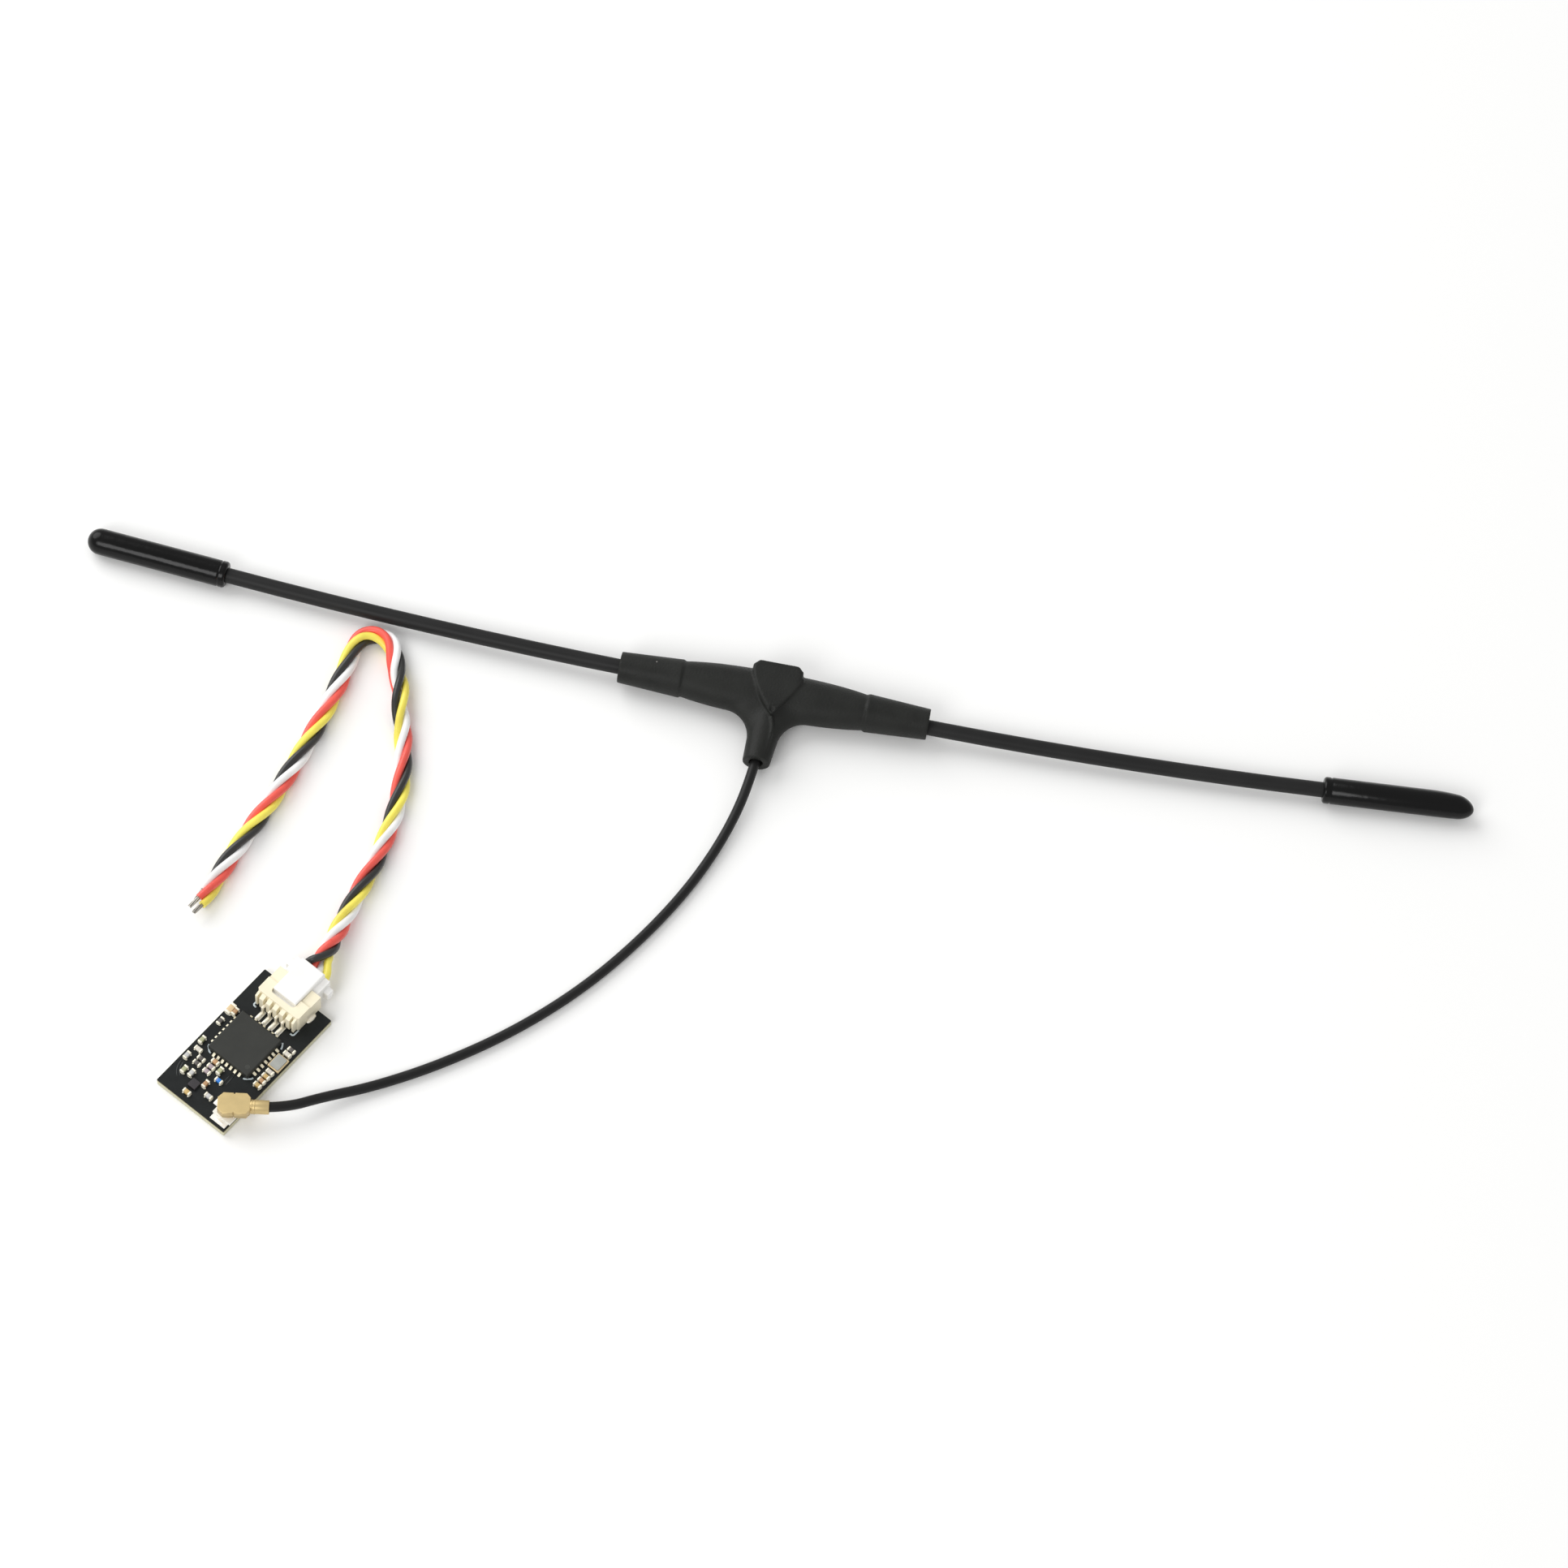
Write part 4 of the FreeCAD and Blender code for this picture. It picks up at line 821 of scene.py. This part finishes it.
class RECEIVER_OT_small_parts(bpy.types.Operator):
    """Makes the small chip parts, each in its own tone, with soldered metal ends"""
    bl_idname = "receiver.small_parts"
    bl_label = "Small chip parts"

    TONES = {"beige": (226, 198, 154), "brown": (186, 146, 104), "gold": (200, 170, 110),
             "green": (172, 174, 136), "grey": (196, 196, 194), "dark": (92, 88, 84),
             "purple": (176, 160, 164), "pale": (214, 208, 196)}
    # Tones of the parts: across and along from the board's middle
    PLACES = [("dark", 4.2, 3.5), ("pale", 4.2, 2.85), ("pale", 4.2, -0.1), ("gold", 4.2, -0.85),
              ("brown", 4.2, -1.5), ("gold", 4.2, -2.25), ("beige", -4.6, 2.85), ("brown", -3.95, 2.9),
              ("dark", -4.5, 0.95), ("green", -4.45, -2.25), ("grey", -4.5, -4.9), ("grey", -2.55, -6.2),
              ("green", -3.5, -6.4), ("green", -0.4, -3.9), ("brown", -1.4, -3.4), ("purple", -1.4, -4.15),
              ("purple", -1.4, -4.9), ("dark", -2.95, -4.1), ("dark", -2.95, -4.85), ("pale", -4.0, -3.4),
              ("grey", 0.9, -7.15), ("brown", -0.4, -6.2), ("gold", -1.35, -8.35)]
    # Each node's piece, its finish and the width of its eased edges
    BODIES = (("capacitor_bodies", "chip_capacitors", "capacitor_ceramic", 0.05),
              ("resistor_bodies", "chip_resistors", "resistor_film", 0.03),
              ("inductor_bodies", "chip_inductors", "inductor_ceramic", 0.05))
    END_EDGE = 0.06 * MM
    END_LUMP = (1.3, 1.3, 1.1)

    def execute(self, context):
        names = list(self.TONES)
        glazes = [moulded("glaze_" + name, srgb(*self.TONES[name]), 0.4, 0.08, 0.004)
                  for name in names]
        for node, piece, slot, edge in self.BODIES:
            shape = bmesh.new()
            for low, high in islands(node):
                block(shape, low, high, edge * MM, material=names.index(self.tone(low, high)))
            board_piece(piece, shape, slot, glazes, [node])
        self.ends()
        self.led()
        epoxy = moulded("switch_epoxy", srgb(46, 42, 46), 0.45, 0.08, 0.004)
        softened("switch_moulding", "switch_chip", "chip_epoxy", epoxy)
        return {"FINISHED"}

    def tone(self, low, high):
        middle = (low + high) / 2 / MM
        return min(self.PLACES, key=lambda place: math.hypot(middle.x - place[1], middle.y - place[2]))[0]

    def ends(self):
        """The metal ends, each with a lump of solder that runs out onto the board."""
        solder = metal("end_solder", srgb(251, 246, 226), 0.26, 0.12, 0.012, bare=0.15, vary=0.06)
        shape = bmesh.new()
        for low, high in islands("chip_part_terminals"):
            soldered_foot(shape, low, high, self.END_EDGE, self.END_LUMP)
        board_piece("chip_part_ends", shape, "solder", [solder], ["chip_part_terminals"])

    def led(self):
        # The lens also glows faintly with its own blue: a painted glow that brightens it in any light, not a
        # lamp.
        finish = Finish("blue_lens", Coat_Weight=0.6, Coat_Roughness=0.08, Emission_Strength=0.06)
        cloud = finish.noise(0.4 * MM)
        blue = finish.mix(cloud.between(), srgb(14, 82, 188), srgb(40, 132, 214))
        finish.feed(finish.shader.inputs["Emission Color"], blue)
        softened("led_lens", "status_led", "blue_lens", finish.paint(blue, 0.25), edge=0.06 * MM)


class RECEIVER_OT_header(bpy.types.Operator):
    """Finishes the header, its pins and its soldered tabs"""
    bl_idname = "receiver.header"
    bl_label = "Header"

    # The pad of solder under a pin's tail, from the tail's end
    PAD_HALF = 0.32 * MM
    PAD_BEHIND = 0.15 * MM
    PAD_AHEAD = 1.25 * MM
    PAD_HEIGHT = 0.07 * MM
    PAD_EDGE = 0.03 * MM
    PIN_LUMP_PLACE = 0.35 * MM
    PIN_LUMP = (0.5 * MM, 1.1 * MM, 0.62 * MM)
    TAB_LUMP = (0.62 * MM, 1.5 * MM, 0.5 * MM)

    def execute(self, context):
        board = context.scene.receiver_board
        nylon = moulded("header_nylon", board.header, 0.42, 0.12, 0.004, vary=0.03)
        softened("header_body", "header_housing", "header_nylon", nylon, edge=board.edge)
        tin = metal("pin_tin", srgb(246, 238, 216), 0.32, 0.15, 0.004, bare=0.35, vary=0.05)
        softened("header_contact_pins", "header_pins", "tinned_copper", tin)
        softened("header_side_tabs", "header_anchor_tabs", "tinned_copper", tin, edge=0.04 * MM)
        solder = metal("header_solder", board.solder, 0.24, 0.15, 0.01, bare=0.3, vary=0.06)
        shape = bmesh.new()
        for low, high in islands("header_pins"):
            middle = (low.x + high.x) / 2
            block(shape, (middle - self.PAD_HALF, low.y - self.PAD_BEHIND, 0),
                  (middle + self.PAD_HALF, low.y + self.PAD_AHEAD, self.PAD_HEIGHT), self.PAD_EDGE)
            mound(shape, (middle, low.y + self.PIN_LUMP_PLACE, 0), self.PIN_LUMP)
        for low, high in islands("header_anchor_tabs"):
            mound(shape, footprint(low, high), self.TAB_LUMP)
        board_piece("header_solder_joints", shape, "solder", [solder])
        return {"FINISHED"}


class RECEIVER_OT_servo_plug(bpy.types.Operator):
    """Finishes the white plug of the servo lead and its crimp contacts"""
    bl_idname = "receiver.servo_plug"
    bl_label = "Servo plug"

    def execute(self, context):
        board = context.scene.receiver_board
        nylon = moulded("plug_nylon", board.plug, 0.38, 0.12, 0.004, vary=0.015)
        softened("servo_plug_body", "plug_housing", "plug_nylon", nylon, edge=board.edge)
        dress(metal("contact_tin", srgb(206, 202, 192), 0.3, 0.12, 0.004), "crimp_contacts")
        return {"FINISHED"}


class RECEIVER_OT_socket(bpy.types.Operator):
    """Finishes the coaxial socket and its soldered feet"""
    bl_idname = "receiver.socket"
    bl_label = "Coaxial socket"

    FOOT_EDGE = 0.03 * MM
    FOOT_LUMP = (0.8, 0.8, 3.4)

    def execute(self, context):
        gold = metal("socket_gold", context.scene.receiver_board.gold, 0.35, 0.3, 0.003, bare=0.7,
                     vary=0.06)
        white = moulded("socket_plastic", srgb(246, 244, 236), 0.4, 0.1, 0.003, vary=0.03)
        solder = metal("socket_solder", srgb(252, 249, 242), 0.3, 0.15, 0.008, bare=0.2, vary=0.05)
        softened("socket_body", "socket_base", "socket_plastic", white)
        dress(gold, "socket_shell", "socket_centre_pin")
        shape = bmesh.new()
        for low, high in islands("socket_feet"):
            soldered_foot(shape, low, high, self.FOOT_EDGE, self.FOOT_LUMP)
        board_piece("socket_soldered_feet", shape, "solder", [solder], ["socket_feet"])
        return {"FINISHED"}


class RECEIVER_OT_coax_plug(bpy.types.Operator):
    """Folds the gold plug on the coaxial cable: its head, its wings and the barrel round the cable"""
    bl_idname = "receiver.coax_plug"
    bl_label = "Coaxial plug"

    # The plug along its cable, across it and up from the board, in millimetres
    FRONT = -1.22
    HALF = 1.33
    CORNER = 0.62
    NOTCH = (0.6, 0.76)
    NOTCH_DEPTH = 0.14
    WING_END = 2.1
    NECK_END = 2.55
    BARREL = (2.3, 4.7)
    BARREL_RADIUS = 0.82
    SHEET = 0.18
    MOUTH_DEPTH = 0.3
    LAYERS = ((1.12, 2.0, 0.0), (1.9, 2.12, 0.07), (2.05, 2.3, 0.0))  # each fold's bottom, top and inset
    FOLD_EDGE = 0.08
    TUBE_EDGE = 0.04
    RINGS = (2.66, 2.96)
    RING_LENGTH = 0.11
    RING_HEIGHT = 0.04
    LEVEL = 0.01               # heights and places closer than this are the same

    def execute(self, context):
        gold = metal("plug_gold", context.scene.receiver_board.gold, 0.42, 0.3, 0.004, bare=0.6, vary=0.06)
        plastic = moulded("plug_plastic", srgb(236, 236, 230), 0.4, 0.1, 0.002)
        shape = bmesh.new()
        for bottom, top, inset in self.LAYERS:
            self.plate(shape, bottom, top, inset)
        self.tube(shape, *self.BARREL, self.BARREL_RADIUS, self.SHEET)
        for start in self.RINGS:
            self.tube(shape, start, start + self.RING_LENGTH, self.BARREL_RADIUS + self.RING_HEIGHT)
        u, v = SOCKET_MIDDLE
        place = Matrix.Translation((u * MM, v * MM, 0)) @ Matrix.Rotation(PLUG_TURN, 4, "Z")
        shape.transform(place @ Matrix.Scale(MM, 4))
        board_piece("coax_plug_sheet", shape, "coax_plug_gold", [gold], ["coax_plug_shell"])
        dress(plastic, "coax_plug_insulator")
        dress(gold, "coax_plug_contact")
        return {"FINISHED"}

    def plate(self, shape, bottom, top, inset):
        """One fold of the sheet, with cut front corners, a notch on each side and wings to the barrel."""
        half, front = self.HALF - inset, self.FRONT + inset
        near, far = self.NOTCH
        floor = half - self.NOTCH_DEPTH
        side = [(self.NECK_END, self.BARREL_RADIUS - inset), (self.WING_END, half),
                (far, half), (far, floor), (near, floor), (near, half),
                (front + self.CORNER, half), (front, half - self.CORNER)]
        outline = side + [(x, -y) for x, y in reversed(side)]
        face = shape.faces.new([shape.verts.new((x, y, bottom)) for x, y in outline])
        raised = raise_faces(shape, [face], top - bottom)
        sides = {part for vert in list(face.verts) + raised for part in vert.link_faces}
        bmesh.ops.recalc_face_normals(shape, faces=list(sides))
        rims = {edge for vert in raised for edge in vert.link_edges
                if abs(edge.verts[0].co.z - edge.verts[1].co.z) < self.LEVEL}
        ease(shape, list(rims), self.FOLD_EDGE)

    def tube(self, shape, start, end, radius, wall=0.0):
        """A round length of the sheet, open for the cable where a wall is given."""
        lay = (Matrix.Translation(((start + end) / 2, 0, BARREL_HEIGHT))
               @ Matrix.Rotation(math.radians(90), 4, "Y"))
        made = bmesh.ops.create_cone(shape, cap_ends=True, segments=32, radius1=radius, radius2=radius,
                                     depth=end - start, matrix=lay)
        faces = {face for vert in made["verts"] for face in vert.link_faces}
        mouth = [face for face in faces if face.calc_center_median().x > end - self.LEVEL]
        rims = {edge for face in faces if len(face.verts) > 4 for edge in face.edges}
        if wall:
            bmesh.ops.inset_region(shape, faces=mouth, thickness=wall)
            bmesh.ops.translate(shape, verts=list(mouth[0].verts), vec=(-self.MOUTH_DEPTH, 0, 0))
        ease(shape, list(rims), self.TUBE_EDGE)


class RECEIVER_OT_servo_lead(bpy.types.Operator):
    """Twists the four wires of the servo lead round each other"""
    bl_idname = "receiver.servo_lead"
    bl_label = "Servo lead"

    # Lengths are in millimetres, places start at the end of the flat leads, and values in fours stand in
    # the order of the wires
    ORDER = ("black", "red", "white", "yellow")
    TIGHT_END = 7.6            # the lay is tighter before this distance, where one turn is complete
    TIGHT_RUN = 10.65
    TIGHT_TURNS = 0.944
    ROW_END = (-5.1, -2.9)     # where the plug's flat row closes into the twist
    ROW_LIFT = (0.55, 0.0, 0.0, 0.0)
    SWAP = (30.0, 38.0)        # where the red and the white wire change places
    SWAP_BULGE = (0.12, 0.47, -0.45, 0.12)
    SWAP_LIFT = 0.47
    INSULATION_END = (84.2, 85.5, 84.1, 86.1)
    LENGTHS = (94.3, 95.7, 94.8, 95.8)
    ON_WIRES = ("servo_plug_body", "crimp_contacts", "tinned_strand_ends")
    PLUG_WALL = 0.5            # the middle line starts this far inside the plug's rear
    BEYOND = 6                 # and runs on this far past the route's last point
    STEP = 0.3
    # Tinned strands: how far they stand out, how unevenly, and how they lie
    TINNED = 1.5
    UNEVEN = 0.12
    BURIED = 0.5
    STRANDS = 7
    STRAND_DIAMETER = 0.15
    STRAND_RING = 0.17
    STRAND_FLARE = 0.12
    STRAND_LAY = 0.5
    STRAND_STEPS = 5

    def execute(self, context):
        lead = context.scene.receiver_lead
        self.radius = lead.wire_diameter / MM / math.sqrt(2)
        self.quarter = lead.turn_length / MM / 4
        self.measure_route()
        routes = [[self.place(number, distance) for distance in self.distances(end)]
                  for number, end in enumerate(self.INSULATION_END)]
        self.tinned_ends([(points[-1], (points[-1] - points[-3]).normalized()) for points in routes])
        for number, (colour, points) in enumerate(zip(self.ORDER, routes)):
            gloss = moulded("wire_" + colour + "_pvc", getattr(lead, colour), 0.3, 0.2, 0.004)
            line = new_line("servo_wire_" + colour)
            add_spline(line, "POLY", points)
            wire = add_piece("servo_wire_" + colour, round_line(line, lead.wire_diameter, gloss),
                             "wire_" + colour + "_pvc", ["wire_" + colour, "wire_bundle"])
        return {"FINISHED"}

    def measure_route(self):
        """Reads the twist's middle line, with distance 0 at the end of the flat leads."""
        inside, out = [board_point(0, PLUG_REAR + side * self.PLUG_WALL, PIN_HEIGHT) for side in (-1, 1)]
        route = metres(BUNDLE_ROUTE)
        beyond = route[-1] + (route[-1] - route[-2]).normalized() * self.BEYOND * MM
        name = "servo_lead_route"
        middle_line = mesh_of(name, nurbs_line(name, [inside, out] + route + [beyond]))
        self.line = [vert.co.copy() for vert in middle_line.vertices]
        nearest = min(range(len(self.line)), key=lambda n: (self.line[n] - route[0]).length)
        self.along = [0.0]
        for before, after in zip(self.line, self.line[1:]):
            self.along.append(self.along[-1] + (after - before).length / MM)
        zero = self.along[nearest]
        self.along = [distance - zero for distance in self.along]

    def distances(self, end):
        start = self.along[0]
        count = round((end - start) / self.STEP)
        return [start + (end - start) * number / count for number in range(count + 1)]

    def middle(self, distance):
        """The middle line's point and direction at a distance."""
        number = 1
        while number < len(self.along) - 1 and self.along[number] < distance:
            number += 1
        before, after = self.line[number - 1], self.line[number]
        share = (distance - self.along[number - 1]) / (self.along[number] - self.along[number - 1])
        return before.lerp(after, share), (after - before).normalized()

    def place(self, number, distance):
        middle, ahead = self.middle(distance)
        early = max(0.0, self.TIGHT_END - distance) / self.TIGHT_RUN
        quarters = 4 + (distance - self.TIGHT_END) / self.quarter - self.TIGHT_TURNS * early ** 4
        swapped = smooth_step(distance, *self.SWAP)
        swap = (0.0, swapped, -swapped, 0.0)[number]
        turn = math.radians(90) * (max(0.0, quarters) - number - swap)
        start, end = self.SWAP
        bulge = math.sin(math.pi * min(1.0, max(0.0, (distance - start) / (end - start))))
        radius = self.radius + self.SWAP_BULGE[number] * bulge
        right = ahead.cross(UP).normalized()
        above = right.cross(ahead)
        twisted = (above * math.cos(turn) + right * math.sin(turn)) * radius
        closed = smooth_step(distance, *self.ROW_END)
        lift = UP * (self.SWAP_LIFT * bulge + self.ROW_LIFT[number] * math.sin(math.pi * closed))
        return middle + ((right * PIN_ROW[number]).lerp(twisted, closed) + lift) * MM

    def tinned_ends(self, ends):
        """Fine tinned strands, a little spread, that stand out of each wire's insulation."""
        line = new_line("tinned_strands")
        for number, (end, ahead) in enumerate(ends):
            across = ahead.cross(UP).normalized()
            above = across.cross(ahead)
            for strand in range(self.STRANDS):
                turn = math.tau * strand / (self.STRANDS - 1) + number
                ring = self.STRAND_RING if strand < self.STRANDS - 1 else 0.0
                reach = self.TINNED + self.BURIED + self.UNEVEN * math.sin(3 * strand + number)
                points = []
                for step in range(self.STRAND_STEPS + 1):
                    out = reach * step / self.STRAND_STEPS - self.BURIED
                    spread = ring * (1 + self.STRAND_FLARE * max(0.0, out) * (1 + math.sin(2 * strand)))
                    lay = turn + self.STRAND_LAY * out
                    side = across * math.cos(lay) + above * math.sin(lay)
                    points.append(end + (ahead * out + side * spread) * MM)
                add_spline(line, "POLY", points)
        tin = metal("tinned_strand_metal", srgb(196, 192, 184), 0.32, 0.1, 0.003)
        round_line(line, self.STRAND_DIAMETER * MM, tin)
        line.bevel_resolution = 2
        add_piece("tinned_strand_ends", mesh_of("tinned_strands", line), "tinned_copper",
                  ["tinned_wire_ends"])


STEPS = (RECEIVER_OT_stage, RECEIVER_OT_tee, RECEIVER_OT_elements, RECEIVER_OT_end_caps, RECEIVER_OT_feed,
         RECEIVER_OT_board, RECEIVER_OT_chip, RECEIVER_OT_crystal, RECEIVER_OT_small_parts,
         RECEIVER_OT_header, RECEIVER_OT_servo_plug, RECEIVER_OT_socket, RECEIVER_OT_coax_plug,
         RECEIVER_OT_coax_cable, RECEIVER_OT_servo_lead)
GROUPS = {"receiver_stage": ReceiverStage, "receiver_antenna": ReceiverAntenna,
          "receiver_board": ReceiverBoard, "receiver_lead": ReceiverLead}


class RECEIVER_PT_panel(bpy.types.Panel):
    """Lists the receiver's sizes, colours and pieces"""
    bl_idname = "RECEIVER_PT_panel"
    bl_label = "Receiver"
    bl_space_type = "VIEW_3D"
    bl_region_type = "UI"
    bl_category = "Receiver"

    def draw(self, context):
        for group in GROUPS:
            settings = getattr(context.scene, group)
            column = self.layout.column()
            for name in settings.bl_rna.properties.keys():
                if name not in ("rna_type", "name"):
                    column.prop(settings, name)
        for step in STEPS:
            self.layout.operator(step.bl_idname)


CLASSES = (*GROUPS.values(), *STEPS, RECEIVER_PT_panel)


def register():
    for shown in CLASSES:
        bpy.utils.register_class(shown)
    for name, group in GROUPS.items():
        setattr(bpy.types.Scene, name, PointerProperty(type=group))


def unregister():
    for name in GROUPS:
        delattr(bpy.types.Scene, name)
    for shown in reversed(CLASSES):
        bpy.utils.unregister_class(shown)


def main():
    global BOARD
    register()
    BOARD = board_place()
    for step in STEPS:
        group, name = step.bl_idname.split(".")
        getattr(getattr(bpy.ops, group), name)()


if __name__ == "__main__":
    main()
